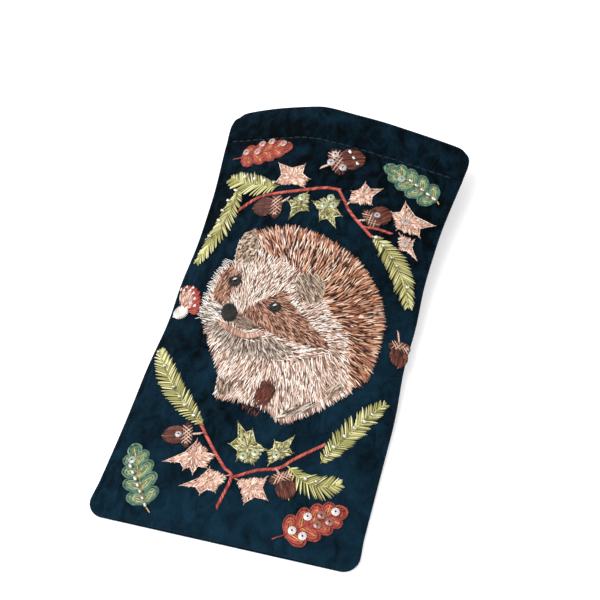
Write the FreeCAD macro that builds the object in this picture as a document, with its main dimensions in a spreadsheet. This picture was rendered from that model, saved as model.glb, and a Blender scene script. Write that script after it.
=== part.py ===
"""Soft glasses pouch: velvet bag, wadding, lining, spring mouth frame and hand embroidery.

The pouch lies on its back. +X is to the right, +Y towards the mouth and +Z up. The origin
is on the resting plane, under the middle of the pouch. Sizes are in millimetres.
"""
import FreeCAD, Part
import math
import os

import Sketcher
from FreeCAD import Placement, Rotation, Vector

doc = FreeCAD.newDocument("glasses_pouch")
sub_parts = []

# ---------------------------------------------------------------- driving sizes
SIZES = [
    ("pouch_width", 100.0, "width across the bottom edge"),
    ("waist_width", 92.0, "width where the filling draws the sides in"),
    ("mouth_width", 98.6, "width at the mouth"),
    ("pouch_length", 180.0, "bottom edge to mouth edge"),
    ("corner_radius", 6.0, "rounding of the two bottom corners, seen in plan"),
    ("edge_height", 2.4, "thickness of the turned side seam"),
    ("seam_foot", 2.6, "height of the front edge at the bottom end"),
    ("seam_mouth", 14.4, "height of the front edge at the mouth corners"),
    ("crown_foot", 1.2, "how far the front stands above its edge at the bottom end"),
    ("crown_roll", 3.0, "extra height gained just inside the bottom seam"),
    ("crown_mouth", 12.2, "how far the front stands above its edge at the mouth"),
    ("velvet_thick", 0.9, "pile and ground cloth of the velvet"),
    ("wadding_thick", 1.2, "interlining between velvet and lining"),
    ("lining_thick", 0.4, "lining cloth"),
    ("hem_depth", 15.5, "mouth edge to the row of channel stitches"),
    ("hem_gap", 0.7, "space between the bag and the moving hem"),
    ("hinge_height", 13.4, "height of the two side hinge pins"),
    ("hinge_foot", 2.9, "height of the bend line of the back strip"),
    ("bend_x", -10.0, "where along the mouth the strips bend"),
    ("link_left", 36.0, "bend line to left hinge pin"),
    ("link_right", 56.0, "bend line to right hinge pin"),
    ("strip_width", 10.5, "width of the spring strip along the pouch"),
    ("strip_thick", 0.5, "thickness of the spring strip"),
    ("strip_edge", 2.6, "mouth edge to the edge of the spring strip"),
    ("knuckle_radius", 1.25, "outside of the rolled hinge knuckle"),
    ("pin_radius", 0.6, "hinge pin"),
    ("pin_clear", 0.05, "running clearance of the pin in the front knuckle"),
    ("knuckle_gap", 0.25, "end float between two knuckles"),
    ("casing_inner", 0.45, "bend line to the inner face of the hem"),
    ("casing_outer", 2.7, "bend line to the outer face of the hem"),
    ("casing_end", 3.5, "bend line to the near end of a hem half"),
    ("casing_stop", 2.2, "far end of a hem half to the hinge pin"),
    ("knuckle_clear", 0.4, "strip end to the other strip's knuckle"),
    ("knuckle_tongue", 1.4, "how far the knuckle's tongue runs back onto the strip"),
    ("middle_inset", 0.3, "end of the middle hem piece to the end of its strip"),
    ("middle_half", 3.0, "half length of the hem piece over the bend"),
    ("thread_lift", 0.8, "how far the embroidery stands above the velvet"),
    ("bead_radius", 0.85, "seed bead"),
    ("bead_length", 1.3, "seed bead along its hole"),
    ("bugle_radius", 0.7, "bugle bead"),
    ("bugle_length", 1.9, "bugle bead along its hole"),
    ("sequin_radius", 1.7, "cup sequin"),
    ("sequin_thick", 0.35, "cup sequin"),
    ("bead_hole", 0.3, "hole through beads and sequins"),
    ("bead_gap", 0.15, "space between the stitches and the beads on them"),
    ("stitch_length", 2.0, "channel stitch"),
    ("stitch_space", 1.0, "between two channel stitches"),
    ("stitch_radius", 0.25, "channel stitch thread"),
]

sheet = doc.addObject("Spreadsheet::Sheet", "Sizes")
for row, (alias, value, note) in enumerate(SIZES, start=1):
    sheet.set("A%d" % row, note)
    sheet.set("B%d" % row, str(value))
    sheet.setAlias("B%d" % row, alias)
doc.recompute()


def size(alias):
    """The value that the sheet holds for one named size."""
    return float(sheet.get(alias))


def bind(thing, prop, formula):
    """Tie a property to the sheet; a word in braces names a cell."""
    thing.setExpression(prop, formula.replace("{", "Sizes.").replace("}", ""))


LENGTH = size("pouch_length")
FOOT_Y = -LENGTH / 2
MOUTH_Y = LENGTH / 2
HEM_Y = MOUTH_Y - size("hem_depth")
VELVET = size("velvet_thick")
WADDING = VELVET + size("wadding_thick")
LINING = WADDING + size("lining_thick")
LIFT = size("thread_lift")
TALL = 80.0

# ---------------------------------------------------------------- the bag's own surfaces
WAIST_FROM, WAIST_TO = 0.65, 0.75
SOFT_BEND = 0.08
BACK_DIP = 0.4
ROLL_LENGTH = 5.0
CORE = 0.6


def ease(start, end, share):
    """Smooth step from 0 at start to 1 at end."""
    part = min(max((share - start) / (end - start), 0.0), 1.0)
    return part * part * (3 - 2 * part)


def half_width(share):
    """Half width of the bag; share is 0 at the bottom edge and 1 at the mouth."""
    waist = size("waist_width") / 2
    if share < WAIST_TO:
        foot = size("pouch_width") / 2
        return foot + (waist - foot) * ease(0.0, WAIST_FROM, share)
    return waist + (size("mouth_width") / 2 - waist) * ease(WAIST_TO, 1.0, share)


def ridge_x(share):
    """Where the highest line of the front runs; it drifts to the bend of the mouth."""
    return size("bend_x") * ease(0.2, 0.95, share)


def edge_z(share):
    """Height of the front edge of the side seam."""
    return size("seam_foot") + (size("seam_mouth") - size("seam_foot")) * ease(0.15, 1.0, share)


def crown(share):
    """How far the front stands above its edge along the ridge."""
    roll = size("crown_roll") * (1 - math.exp(-share * LENGTH / ROLL_LENGTH))
    swell = size("crown_mouth") - size("crown_foot") - size("crown_roll")
    return size("crown_foot") + roll + swell * ease(0.0, 0.85, share)


def bow(across, power):
    """0 on the ridge and 1 at the side; a low power gives straight sides, a high one a full belly."""
    low = SOFT_BEND ** power
    high = (1 + SOFT_BEND ** 2) ** (power / 2)
    return ((across ** 2 + SOFT_BEND ** 2) ** (power / 2) - low) / (high - low)


def front_height(share, across):
    """Height of the velvet's outer face on the front."""
    power = 4.0 - 2.85 * ease(0.25, 0.95, share)
    return edge_z(share) + crown(share) * (1 - bow(across, power))


def back_height(share, across):
    """Height of the velvet's outer face on the back, a little under 0 where it lies flat."""
    power = 5.0 - 3.85 * ease(0.3, 0.95, share)
    rise = edge_z(share) - size("edge_height") + BACK_DIP
    return rise * bow(across, power) - BACK_DIP


def x_at(share, across):
    """Place across the bag: -1 at the left side, 0 on the ridge and 1 at the right side."""
    ridge = ridge_x(share)
    reach = half_width(share)
    return ridge + across * (reach - ridge if across > 0 else reach + ridge)


def across_at(share, x):
    """The inverse of x_at."""
    ridge = ridge_x(share)
    reach = half_width(share)
    return (x - ridge) / (reach - ridge if x > ridge else reach + ridge)


def share_at(y):
    return (y - FOOT_Y) / LENGTH


def surface_z(x, y):
    """Height of the front velvet at a place in plan."""
    share = share_at(y)
    return front_height(share, across_at(share, x))


def layer_reach(share, inset):
    """How far out a layer can run before front and back close in on its core."""
    near, far = 0.0, 1.0
    need = 2 * inset + CORE
    for _ in range(30):
        middle = (near + far) / 2
        gap = front_height(share, middle) - max(back_height(share, middle), 0.0)
        near, far = (middle, far) if gap > need else (near, middle)
    return near


PROFILE_STEPS = 14
STATIONS = [0.0, 0.02, 0.045, 0.08, 0.13, 0.2, 0.3, 0.4, 0.5, 0.6, 0.7, 0.8, 0.87, 0.93, 1.0]


def section(share, drop_top, lift_base, reach):
    """Closed outline of the bag across one station."""
    y = FOOT_Y + share * LENGTH
    places = [reach * (2 * i / PROFILE_STEPS - 1) for i in range(PROFILE_STEPS + 1)]
    top = [Vector(x_at(share, a), y, front_height(share, abs(a)) - drop_top) for a in places]
    base = [Vector(x_at(share, a), y, back_height(share, abs(a)) + lift_base) for a in places]
    upper, lower = Part.BSplineCurve(), Part.BSplineCurve()
    upper.interpolate(top[::-1])
    lower.interpolate(base)
    sides = [Part.makeLine(base[-1], top[-1]), Part.makeLine(top[0], base[0])]
    return Part.Wire([lower.toShape(), sides[0], upper.toShape(), sides[1]])


def plan_prism(inset, foot_inset):
    """Block with the bag's plan: rounded bottom corners, open at the hem line."""
    y_foot = FOOT_Y + foot_inset
    radius = max(size("corner_radius") - inset, 1.0)
    reach = size("pouch_width") / 2 - inset
    wide = max(size("pouch_width"), size("mouth_width"), size("waist_width")) / 2 + 5
    bulge = radius * (1 - math.sqrt(0.5))
    low_left = Vector(-reach + bulge, y_foot + bulge, 0)
    low_right = Vector(reach - bulge, y_foot + bulge, 0)
    left = [Vector(-wide, HEM_Y, 0), Vector(-reach, y_foot + radius, 0)]
    foot = [Vector(-reach + radius, y_foot, 0), Vector(reach - radius, y_foot, 0)]
    right = [Vector(reach, y_foot + radius, 0), Vector(wide, HEM_Y, 0)]
    edges = [
        Part.makeLine(left[0], left[1]),
        Part.Arc(left[1], low_left, foot[0]).toShape(),
        Part.makeLine(foot[0], foot[1]),
        Part.Arc(foot[1], low_right, right[0]).toShape(),
        Part.makeLine(right[0], right[1]),
        Part.makeLine(right[1], left[0]),
    ]
    block = Part.Face(Part.Wire(edges)).extrude(Vector(0, 0, TALL))
    block.translate(Vector(0, 0, inset))
    return block


def bag_solid(inset, foot_inset):
    """The bag's outside, or the outside of a layer that lies inset deep in it."""
    start = foot_inset / LENGTH
    shares = [start] + [s for s in STATIONS if s > start + 0.01]
    wires = []
    for share in shares:
        reach = layer_reach(share, inset) if inset > 0 else 1.0
        wires.append(section(share, inset, inset, reach))
    return Part.makeLoft(wires, True, False).common(plan_prism(inset, foot_inset))


def above_seam(inset):
    """Everything over the parting of a layer: the side seam, or the pocket's floor near the foot."""
    half = size("edge_height") / 2
    step = max(inset + CORE / 2 - edge_z(0.0) + half, 0.0)
    heights = [edge_z(s) - half + step * (1 - ease(0.15, 0.6, s)) for s in STATIONS]
    points = [Vector(-TALL, FOOT_Y - 5, heights[0])]
    points += [Vector(-TALL, FOOT_Y + s * LENGTH, z) for s, z in zip(STATIONS, heights)]
    curve = Part.BSplineCurve()
    curve.interpolate(points)
    corners = [points[-1], Vector(-TALL, MOUTH_Y, TALL), Vector(-TALL, FOOT_Y - 5, TALL), points[0]]
    wire = Part.Wire([curve.toShape(), Part.makePolygon(corners)])
    return Part.Face(wire).extrude(Vector(2 * TALL, 0, 0))


def add_shape(label, shape):
    """Keep a free-form piece as a sub-part of its own."""
    if len(shape.Solids) == 1:
        shape = shape.Solids[0]
    piece = doc.addObject("Part::Feature", label)
    piece.Label = label
    piece.Shape = shape
    piece.Placement = Placement()
    sub_parts.append(piece)
    return piece


VELVET_FOOT, WADDING_FOOT, POCKET_FOOT = 1.5, 6.5, 8.0
outside = bag_solid(0.0, 0.0)
under_velvet = bag_solid(VELVET, VELVET_FOOT)
under_wadding = bag_solid(WADDING, WADDING_FOOT)
pocket = bag_solid(LINING, POCKET_FOOT)
LAYERS = [
    ("velvet", VELVET, outside.cut(under_velvet)),
    ("wadding", WADDING, under_velvet.cut(under_wadding)),
    ("lining", LINING, under_wadding.cut(pocket)),
]
for name, inset, shell in LAYERS:
    upper_half = above_seam(inset)
    add_shape(name + "_front", shell.common(upper_half))
    add_shape(name + "_back", shell.cut(upper_half))

# ---------------------------------------------------------------- spring frame of the mouth
RISE = size("hinge_height") - size("hinge_foot")
LEAN = {
    "left": math.degrees(math.asin(RISE / size("link_left"))),
    "right": math.degrees(math.asin(RISE / size("link_right"))),
}
BAND_Y = "{pouch_length} / 2 - {strip_edge} - {strip_width} / 2"
LEAN_FORMULA = "asin(({hinge_height} - {hinge_foot}) / {link_%s})"
TURN = {
    ("front", "left"): "180 deg - ",
    ("back", "left"): "180 deg + ",
    ("front", "right"): "0 deg + ",
    ("back", "right"): "0 deg - ",
}
OUTWARD = {("front", "left"): -1, ("back", "left"): 1, ("front", "right"): 1, ("back", "right"): -1}
BEND_Z = {"front": "2 * {hinge_height} - {hinge_foot}", "back": "{hinge_foot}"}


def place_at_bend(thing, face, side=None):
    """Put a piece drawn along its own X at the bend line and lean it towards its hinge pin."""
    if side:
        thing.Placement = Placement(Vector(), Rotation(Vector(0, 1, 0), LEAN[side]))
        bind(thing, "Placement.Rotation.Angle", TURN[face, side] + LEAN_FORMULA % side)
    bind(thing, "Placement.Base.x", "{bend_x}")
    bind(thing, "Placement.Base.y", BAND_Y)
    bind(thing, "Placement.Base.z", BEND_Z[face])


def side_sketch(body, name):
    """Sketch on the plane that looks along the pouch: its x is the piece's x, its y the piece's z."""
    sketch = body.newObject("Sketcher::SketchObject", name)
    plane = [f for f in body.Origin.OriginFeatures if f.Role == "XZ_Plane"][0]
    sketch.AttachmentSupport = [(plane, "")]
    sketch.MapMode = "FlatFace"
    return sketch


def hold(sketch, kind, edge, end, formula):
    """Dimension one point from the sketch's origin and tie it to the sheet."""
    index = sketch.addConstraint(Sketcher.Constraint(kind, -1, 1, edge, end, 1.0))
    bind(sketch, "Constraints[%d]" % index, formula)


def box_sketch(body, name, low, high):
    """Rectangle tied to the sheet; low and high are the (x, z) formulas of two corners."""
    sketch = side_sketch(body, name)
    corners = [Vector(1, 1, 0), Vector(4, 1, 0), Vector(4, 2, 0), Vector(1, 2, 0)]
    for i in range(4):
        sketch.addGeometry(Part.LineSegment(corners[i], corners[(i + 1) % 4]), False)
    for i in range(4):
        sketch.addConstraint(Sketcher.Constraint("Coincident", i, 2, (i + 1) % 4, 1))
    for i, kind in enumerate(("Horizontal", "Vertical", "Horizontal", "Vertical")):
        sketch.addConstraint(Sketcher.Constraint(kind, i))
    hold(sketch, "DistanceX", 0, 1, low[0])
    hold(sketch, "DistanceY", 0, 1, low[1])
    hold(sketch, "DistanceX", 2, 1, high[0])
    hold(sketch, "DistanceY", 2, 1, high[1])
    return sketch


def round_sketch(body, name, along, radius):
    """Circle on the piece's own X axis, tied to the sheet."""
    sketch = side_sketch(body, name)
    sketch.addGeometry(Part.Circle(Vector(5, 0, 0), Vector(0, 0, 1), 1), False)
    sketch.addConstraint(Sketcher.Constraint("PointOnObject", 0, 3, -1))
    hold(sketch, "DistanceX", 0, 3, along)
    index = sketch.addConstraint(Sketcher.Constraint("Radius", 0, 1.0))
    bind(sketch, "Constraints[%d]" % index, radius)
    return sketch


def both_ways(body, kind, name, sketch, length):
    """Pad or pocket a sketch evenly to both sides of its plane."""
    feature = body.newObject("PartDesign::" + kind, name)
    feature.Profile = sketch
    feature.SideType = "Symmetric"
    bind(feature, "Length", length)
    return feature


def new_body(label):
    body = doc.addObject("PartDesign::Body", label)
    body.Label = label
    sub_parts.append(body)
    return body


def strip_levels(outward):
    """The two faces of a strip, as formulas from the bend line; low first."""
    if outward > 0:
        return "{knuckle_radius} - {strip_thick}", "{knuckle_radius}"
    return "-{knuckle_radius}", "{strip_thick} - {knuckle_radius}"


def spring_strip(face, side):
    """Half of a spring strip, from the bend to the knuckle rolled at its end."""
    body = new_body("%s_spring_%s" % (face, side))
    low, high = strip_levels(OUTWARD[face, side])
    link = "{link_%s}" % side
    strip_end = link + " - {knuckle_radius} - {knuckle_clear}"
    strip = box_sketch(body, "StripShape", ("{casing_end}", low), (strip_end, high))
    both_ways(body, "Pad", "Strip", strip, "{strip_width}")
    third = "{strip_width} / 3"
    hinge_length = third + " - 2 * {knuckle_gap}" if face == "front" else "{strip_width}"
    tongue = box_sketch(body, "TongueShape", (strip_end + " - {knuckle_tongue}", low), (link, high))
    both_ways(body, "Pad", "Tongue", tongue, hinge_length)
    knuckle = round_sketch(body, "KnuckleShape", link, "{knuckle_radius}")
    both_ways(body, "Pad", "Knuckle", knuckle, hinge_length)
    clear = " + {pin_clear}" if face == "front" else ""
    bore = round_sketch(body, "BoreShape", link, "{pin_radius}" + clear)
    both_ways(body, "Pocket", "Bore", bore, "{strip_width} + 2")
    if face == "back":
        reach = "({knuckle_radius} + {knuckle_clear})"
        gap = box_sketch(body, "GapShape", (link + " - " + reach, "-{knuckle_radius} - 1"),
                         (link + " + " + reach, "{knuckle_radius} + 1"))
        both_ways(body, "Pocket", "Gap", gap, third)
    place_at_bend(body, face, side)


def hinge_pin(side):
    """Pin along the pouch, fixed in the back strip's two knuckles."""
    body = new_body("hinge_pin_" + side)
    shank = round_sketch(body, "ShankShape", "{link_%s}" % side, "{pin_radius}")
    both_ways(body, "Pad", "Shank", shank, "{strip_width}")
    place_at_bend(body, "back", side)


def middle_strip(face):
    """The short bend of a strip, between its two stiff halves."""
    body = new_body(face + "_spring_middle")
    low, high = strip_levels(1 if face == "front" else -1)
    half = "{middle_half} - {middle_inset}"
    shape = box_sketch(body, "BendShape", ("-(" + half + ")", low), (half, high))
    both_ways(body, "Pad", "Bend", shape, "{strip_width}")
    place_at_bend(body, face)


def sleeve(label, face, outward, span, foot_gap, side=None):
    """Hem cloth round a strip: a block with a slot; span holds its start and length formulas."""
    low, high = strip_levels(outward)
    cloth = doc.addObject("Part::Box", label + "_cloth")
    slot = doc.addObject("Part::Box", label + "_slot")
    bind(cloth, "Placement.Base.x", span[0])
    bind(cloth, "Length", span[1])
    bind(cloth, "Placement.Base.y", "{strip_edge} + {strip_width} / 2 - {hem_depth}" + foot_gap[0])
    bind(cloth, "Width", "{hem_depth}" + foot_gap[1])
    bind(cloth, "Placement.Base.z", "{casing_inner}" if outward > 0 else "-{casing_outer}")
    bind(cloth, "Height", "{casing_outer} - {casing_inner}")
    bind(slot, "Placement.Base.x", span[0] + " - 1")
    bind(slot, "Length", span[1] + " + 2")
    bind(slot, "Placement.Base.y", "-{strip_width} / 2")
    bind(slot, "Width", "{strip_width}")
    bind(slot, "Placement.Base.z", low)
    bind(slot, "Height", "{strip_thick}")
    piece = doc.addObject("Part::Cut", label)
    piece.Label = label
    piece.Base = cloth
    piece.Tool = slot
    place_at_bend(piece, face, side)
    sub_parts.append(piece)


FREE_FOOT = (" + {hem_gap}", " - {hem_gap}")
SEWN_FOOT = ("", "")
for face in ("front", "back"):
    for side in ("left", "right"):
        spring_strip(face, side)
        span = ("{casing_end}", "{link_%s} - {casing_end} - {casing_stop}" % side)
        sleeve("%s_hem_%s" % (face, side), face, OUTWARD[face, side], span, FREE_FOOT, side)
    middle_strip(face)
    span = ("-{middle_half}", "2 * {middle_half}")
    foot = FREE_FOOT if face == "front" else SEWN_FOOT
    sleeve(face + "_hem_middle", face, 1 if face == "front" else -1, span, foot)
for side in ("left", "right"):
    hinge_pin(side)
doc.recompute()

# ---------------------------------------------------------------- embroidery
# The pattern is drawn for a panel 100 wide and 180 long and stretches with the bag.
DRAWN_WIDTH, DRAWN_LENGTH = 100.0, 180.0
SCALE_X = size("pouch_width") / DRAWN_WIDTH
SCALE_Y = size("pouch_length") / DRAWN_LENGTH


def thread_layer():
    """The space just above the front velvet that the stitches fill."""
    wires = [section(share, -LIFT, 0.0, 1.0) for share in STATIONS]
    raised = Part.makeLoft(wires, True, False).common(plan_prism(0.0, 0.0))
    return raised.cut(outside)


def spot(x, y):
    """A point of the drawn pattern, as it lies on this bag."""
    return Vector(x * SCALE_X, y * SCALE_Y, 0)


def smooth_face(points):
    """Face inside a smooth closed curve."""
    curve = Part.BSplineCurve()
    curve.interpolate([spot(x, y) for x, y in points], PeriodicFlag=True)
    return Part.Face(Part.Wire(curve.toShape()))


def corner_face(points):
    """Face inside a polygon."""
    corners = [spot(x, y) for x, y in points]
    return Part.Face(Part.makePolygon(corners + corners[:1]))


def disc_face(x, y, radius):
    circle = Part.Circle(spot(x, y), Vector(0, 0, 1), radius)
    return Part.Face(Part.Wire(circle.toShape()))


def oval_face(centre, long_half, short_half, turn):
    """Ellipse whose long side is turned by an angle in degrees from +X."""
    steps = 12
    a, b = math.cos(math.radians(turn)), math.sin(math.radians(turn))
    points = []
    for i in range(steps):
        u = long_half * math.cos(2 * math.pi * i / steps)
        v = short_half * math.sin(2 * math.pi * i / steps)
        points.append((centre[0] + u * a - v * b, centre[1] + u * b + v * a))
    return smooth_face(points)


def band_face(points, width):
    """Thin band along a bent line."""
    left, right = [], []
    for i, (x, y) in enumerate(points):
        before, after = points[max(i - 1, 0)], points[min(i + 1, len(points) - 1)]
        dx, dy = after[0] - before[0], after[1] - before[1]
        reach = width / 2 / math.hypot(dx, dy)
        left.append((x - dy * reach, y + dx * reach))
        right.append((x + dy * reach, y - dx * reach))
    return corner_face(left + right[::-1])


def spine_face(points, half, widths, steps=9):
    """Leaf along a gently bent midrib; widths gives its half width as a share along the rib."""
    (x0, y0), (x1, y1), (x2, y2) = points
    left, right = [], []
    for i in range(steps + 1):
        t = i / steps
        a, b, c = (1 - t) ** 2, 2 * t * (1 - t), t * t
        x, y = a * x0 + b * x1 + c * x2, a * y0 + b * y1 + c * y2
        dx = 2 * (1 - t) * (x1 - x0) + 2 * t * (x2 - x1)
        dy = 2 * (1 - t) * (y1 - y0) + 2 * t * (y2 - y1)
        reach = half * widths(t) / math.hypot(dx, dy)
        left.append((x - dy * reach, y + dx * reach))
        right.append((x + dy * reach, y - dx * reach))
    return corner_face(left + right[::-1][:-1] if widths(0) == 0 else left + right[::-1])


def fern_width(t):
    return 0.12 + 0.88 * math.sin(math.pi * min(t * 0.94 + 0.03, 1.0)) ** 0.6


def oak_width(t):
    body = math.sin(math.pi * min(0.06 + 0.9 * t, 1.0)) ** 0.55
    return body * (0.86 + 0.14 * math.cos(2 * math.pi * (4 * t - 0.35)))


def oak_leaf(stem, join, tip, half):
    middle = ((join[0] + tip[0]) / 2, (join[1] + tip[1]) / 2)
    leaf = spine_face((join, middle, tip), half, oak_width, 21)
    return leaf.fuse(band_face((stem, join, middle), 1.4)).removeSplitter()


def maple_leaf(base, centre, tips):
    """Pointed leaf: the tips in order round the centre, with a notch between each two."""
    points = [base]
    for i, tip in enumerate(tips):
        if i:
            last = tips[i - 1]
            points.append(tuple(centre[k] + 0.42 * ((tip[k] + last[k]) / 2 - centre[k]) for k in (0, 1)))
        points.append(tip)
    return corner_face(points)


def acorn(nut, cup, nut_half, cup_half, stalk):
    """Oval nut, the cup over its end and a short stalk."""
    turn = math.degrees(math.atan2(cup[1] - nut[1], cup[0] - nut[0]))
    shape = oval_face(nut, nut_half[0], nut_half[1], turn)
    shape = shape.fuse(oval_face(cup, cup_half[0], cup_half[1], turn))
    return shape.fuse(band_face((cup, stalk), 1.2)).removeSplitter()


stitch_space = thread_layer()
stitched = []
SMALLEST_PATCH = 0.5


def embroider(label, faces):
    """Raise flat pattern faces into the thread layer; each leaves room for the ones before it."""
    solids = []
    for face in faces:
        for other in stitched:
            if face.BoundBox.intersect(other.BoundBox):
                face = face.cut(other)
        kept = [part for part in face.Faces if part.Area > SMALLEST_PATCH]
        stitched.extend(kept)
        for part in kept:
            solids += part.extrude(Vector(0, 0, TALL)).common(stitch_space).Solids
    add_shape(label, Part.makeCompound(solids))


OAK_LEAVES = {
    "oak_leaf_red_top": ((-41, 65), (-36.5, 65.5), (-17.8, 69.3), 5.9),
    "oak_leaf_green_top": ((42, 61), (39.5, 62.5), (19.5, 70), 6.4),
    "oak_leaf_green_bottom": ((-26.5, -85.5), (-29.5, -82), (-40.5, -61.5), 6.6),
    "oak_leaf_red_bottom": ((20, -85.5), (24.5, -82.5), (41, -69), 6.8),
}
for label, drawn in OAK_LEAVES.items():
    embroider(label, [oak_leaf(*drawn)])

FERNS = {
    "fern_top_left": ((-18, 50), (-28, 51), (-39, 55), 5.0),
    "fern_left": ((-34, 48.5), (-35.5, 33), (-41, 16.5), 4.4),
    "fern_right": ((23.3, 37), (34, 28.5), (41.8, 14.5), 4.6),
    "fern_bottom_left": ((-18, -49.5), (-33.5, -36.5), (-43.7, -22), 4.4),
    "fern_bottom_right": ((28, -54), (34.5, -41), (43.3, -26), 4.3),
    "fern_lower_right": ((17.5, -59), (27, -63.5), (36.2, -60.3), 4.6),
}
for label, (base, middle, tip, half) in FERNS.items():
    embroider(label, [spine_face((base, middle, tip), half, fern_width)])

PINK_TOP = [
    ((-7.4, 50.6), (-13, 54), [(-19.2, 51.3), (-20.3, 60.6), (-10, 60.4), (-6.8, 54.6)]),
    ((10.5, 48), (14.5, 53.5), [(10.8, 54), (14.2, 59.2), (20.6, 58.7), (18.6, 51)]),
    ((30.5, 43.5), (32.5, 47.5), [(27, 50), (30.6, 56.2), (42.8, 51), (38.8, 44)]),
    ((31.8, 42), (35, 38.8), [(33.4, 36), (39.8, 34.6), (37.2, 41.6)]),
]
PINK_BOTTOM = [
    ((-9.7, -60), (-17, -62), [(-17.8, -56), (-26.8, -66.3), (-19, -67.6), (-15.4, -68.6), (-11.4, -65.4)]),
    ((-2.6, -66.6), (-9.5, -70.4), [(-10, -65.6), (-17.7, -74), (-10.3, -75.4), (-5.6, -73.6)]),
    ((0.6, -67.5), (7, -69), [(6.2, -75.6), (13.4, -72.6), (10.8, -64.6)]),
]
GREEN_TOP = [
    ((-5.4, 49.3), (-7.4, 43.6), [(-11.4, 43.6), (-9.3, 36.8), (-3.6, 41.4)]),
    ((4, 50), (2.8, 44.5), [(-2.4, 45.5), (2.2, 38.2), (8.4, 37), (9.2, 42.2), (7, 48.4)]),
]
GREEN_BOTTOM = [
    ((5, -60.5), (0.8, -54.5), [(-1.4, -60.2), (-5.6, -54.8), (-5.2, -46.2), (0.6, -48), (7, -54)]),
    ((10.2, -59.6), (12.2, -54.2), [(8.4, -54.4), (9.8, -50.4), (15.8, -47.2), (17, -53.4)]),
]
MAPLES = {
    "maple_leaves_pink_top": PINK_TOP,
    "maple_leaves_pink_bottom": PINK_BOTTOM,
    "maple_leaves_green_top": GREEN_TOP,
    "maple_leaves_green_bottom": GREEN_BOTTOM,
}
for label, leaves in MAPLES.items():
    embroider(label, [maple_leaf(*leaf) for leaf in leaves])

ACORNS = {
    "acorn_top": ((6.4, 68.2), (1.6, 65.4), (4.4, 4.9), (3.2, 5.0), (-3.4, 61)),
    "acorn_upper_left": ((-20.4, 40.4), (-16, 41.2), (3.9, 4.4), (2.6, 4.6), (-12, 45)),
    "acorn_upper_right": ((23.2, 47), (20.4, 44.2), (3.8, 4.2), (2.4, 4.1), (16.4, 42.4)),
    "acorn_right": ((43.4, -6), (42.8, -2.2), (3.5, 3.4), (2.2, 3.5), (41, 3)),
    "acorn_lower_left": ((-26.4, -55.6), (-22.2, -54.6), (3.9, 3.8), (2.3, 4.0), (-17.2, -53)),
    "acorn_lower_right": ((18.6, -67), (16.4, -63.4), (3.6, 3.8), (2.3, 3.8), (13.4, -60.8)),
}
for label, drawn in ACORNS.items():
    embroider(label, [acorn(*drawn)])

TWIG_TOP = [(-30.5, 39.6), (-23.5, 45), (-10, 48.6), (0, 52.6), (5.4, 53.4), (12.5, 44.6), (22.7, 36.8)]
TWIG_BOTTOM = [(-18.5, -49.6), (-12, -57), (-5.5, -63.6), (-1.6, -67.2), (-3, -79)]
TWIG_BRANCH = [(-1.6, -67.2), (6.5, -62.6), (14, -60), (18.8, -55), (27, -47.6)]
TWIG_WIDTH = 1.3
embroider("twig_top", [band_face(TWIG_TOP, TWIG_WIDTH), band_face([(18.4, 40.2), (29, 41)], 1.0)])
lower_twig = band_face(TWIG_BOTTOM, TWIG_WIDTH).fuse(band_face(TWIG_BRANCH, TWIG_WIDTH))
embroider("twig_bottom", [lower_twig.removeSplitter()])

CAP = [(-44.3, 4.6), (-38, 3.8), (-34.8, -1), (-34, -6.8), (-36.6, -5.4), (-38, 0.4)]
embroider("toadstool_cap", [smooth_face(CAP)])
embroider("toadstool_stem", [disc_face(-41, -5.6, 2.9)])

# ---------------------------------------------------------------- the hedgehog
OUTLINE = [
    (-26, 24), (-22, 29.5), (-10, 33.6), (-1, 33.6), (12, 30), (23, 24), (31.5, 15), (36, 5), (37, -7),
    (35.8, -20), (30, -25.5), (22, -34), (10.5, -42), (3, -39), (-6, -37.6), (-16, -37.4), (-18.6, -28),
    (-26, -16), (-30.6, -8), (-31.2, 2), (-29.4, 12.4), (-25.4, 16),
]
SPINE_EDGE = [
    (-24, 40), (-19, 25), (-12, 20), (-4, 18), (1, 15.4), (12, 8), (18, 1), (24, -4), (27, -12), (30, -22),
    (34, -34), (70, -34), (70, 60), (-24, 60),
]
BELLY = [(-45, -11), (-27, -12.6), (-14, -19), (0, -20.4), (12, -17.6), (22, -12), (28, -14), (45, -25),
         (45, -60), (-45, -60)]
MASK_LEFT = [(-28.6, 10), (-25.6, 14), (-20.6, 9.6), (-22.6, 2.4), (-24, -2.6), (-29, 0.6)]
MASK_RIGHT = [(-16, -4.4), (-8, 3.2), (-3, 7), (1.4, 2.4), (9, -3), (18.4, -11), (4, -11.6), (-8, -9)]
MUZZLE = [(-18.4, -4.8), (-10.4, -7), (-9.4, -9.4), (-14, -10.4), (-19, -8.6)]
MOUTH = [(-23.4, -8.8), (-17, -11.2), (-10, -12), (-5.4, -9.6), (-6.4, -12.4), (-11, -14.2), (-18, -13)]
EYES = [((-22.6, 8), 2.3, 2.0), ((-4.6, 0.2), 2.1, 1.8)]
NOSE = ((-21, -5), 3.0, 2.7)
EAR_LEFT = [(-24.6, 28), (-20.4, 28.6), (-17.6, 22), (-19.4, 16.6), (-24.4, 15.6), (-25.6, 21)]
EAR_RIGHT = [(0.6, 12), (3.4, 15.2), (9, 15), (11.6, 10), (10.4, 5), (4, 4.4)]
FEET = [
    [(-17, -31), (-12.4, -31.6), (-11.4, -35.6), (-16, -36.6)],
    [(-2.6, -36.8), (-1, -29), (2.2, -28.4), (4.4, -31.6), (2.6, -38)],
    [(8, -40.6), (10.4, -41), (20, -35), (19, -33), (11, -37)],
    [(21.6, -26), (25, -23.8), (27.6, -26.4), (24.4, -29.6)],
]


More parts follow.
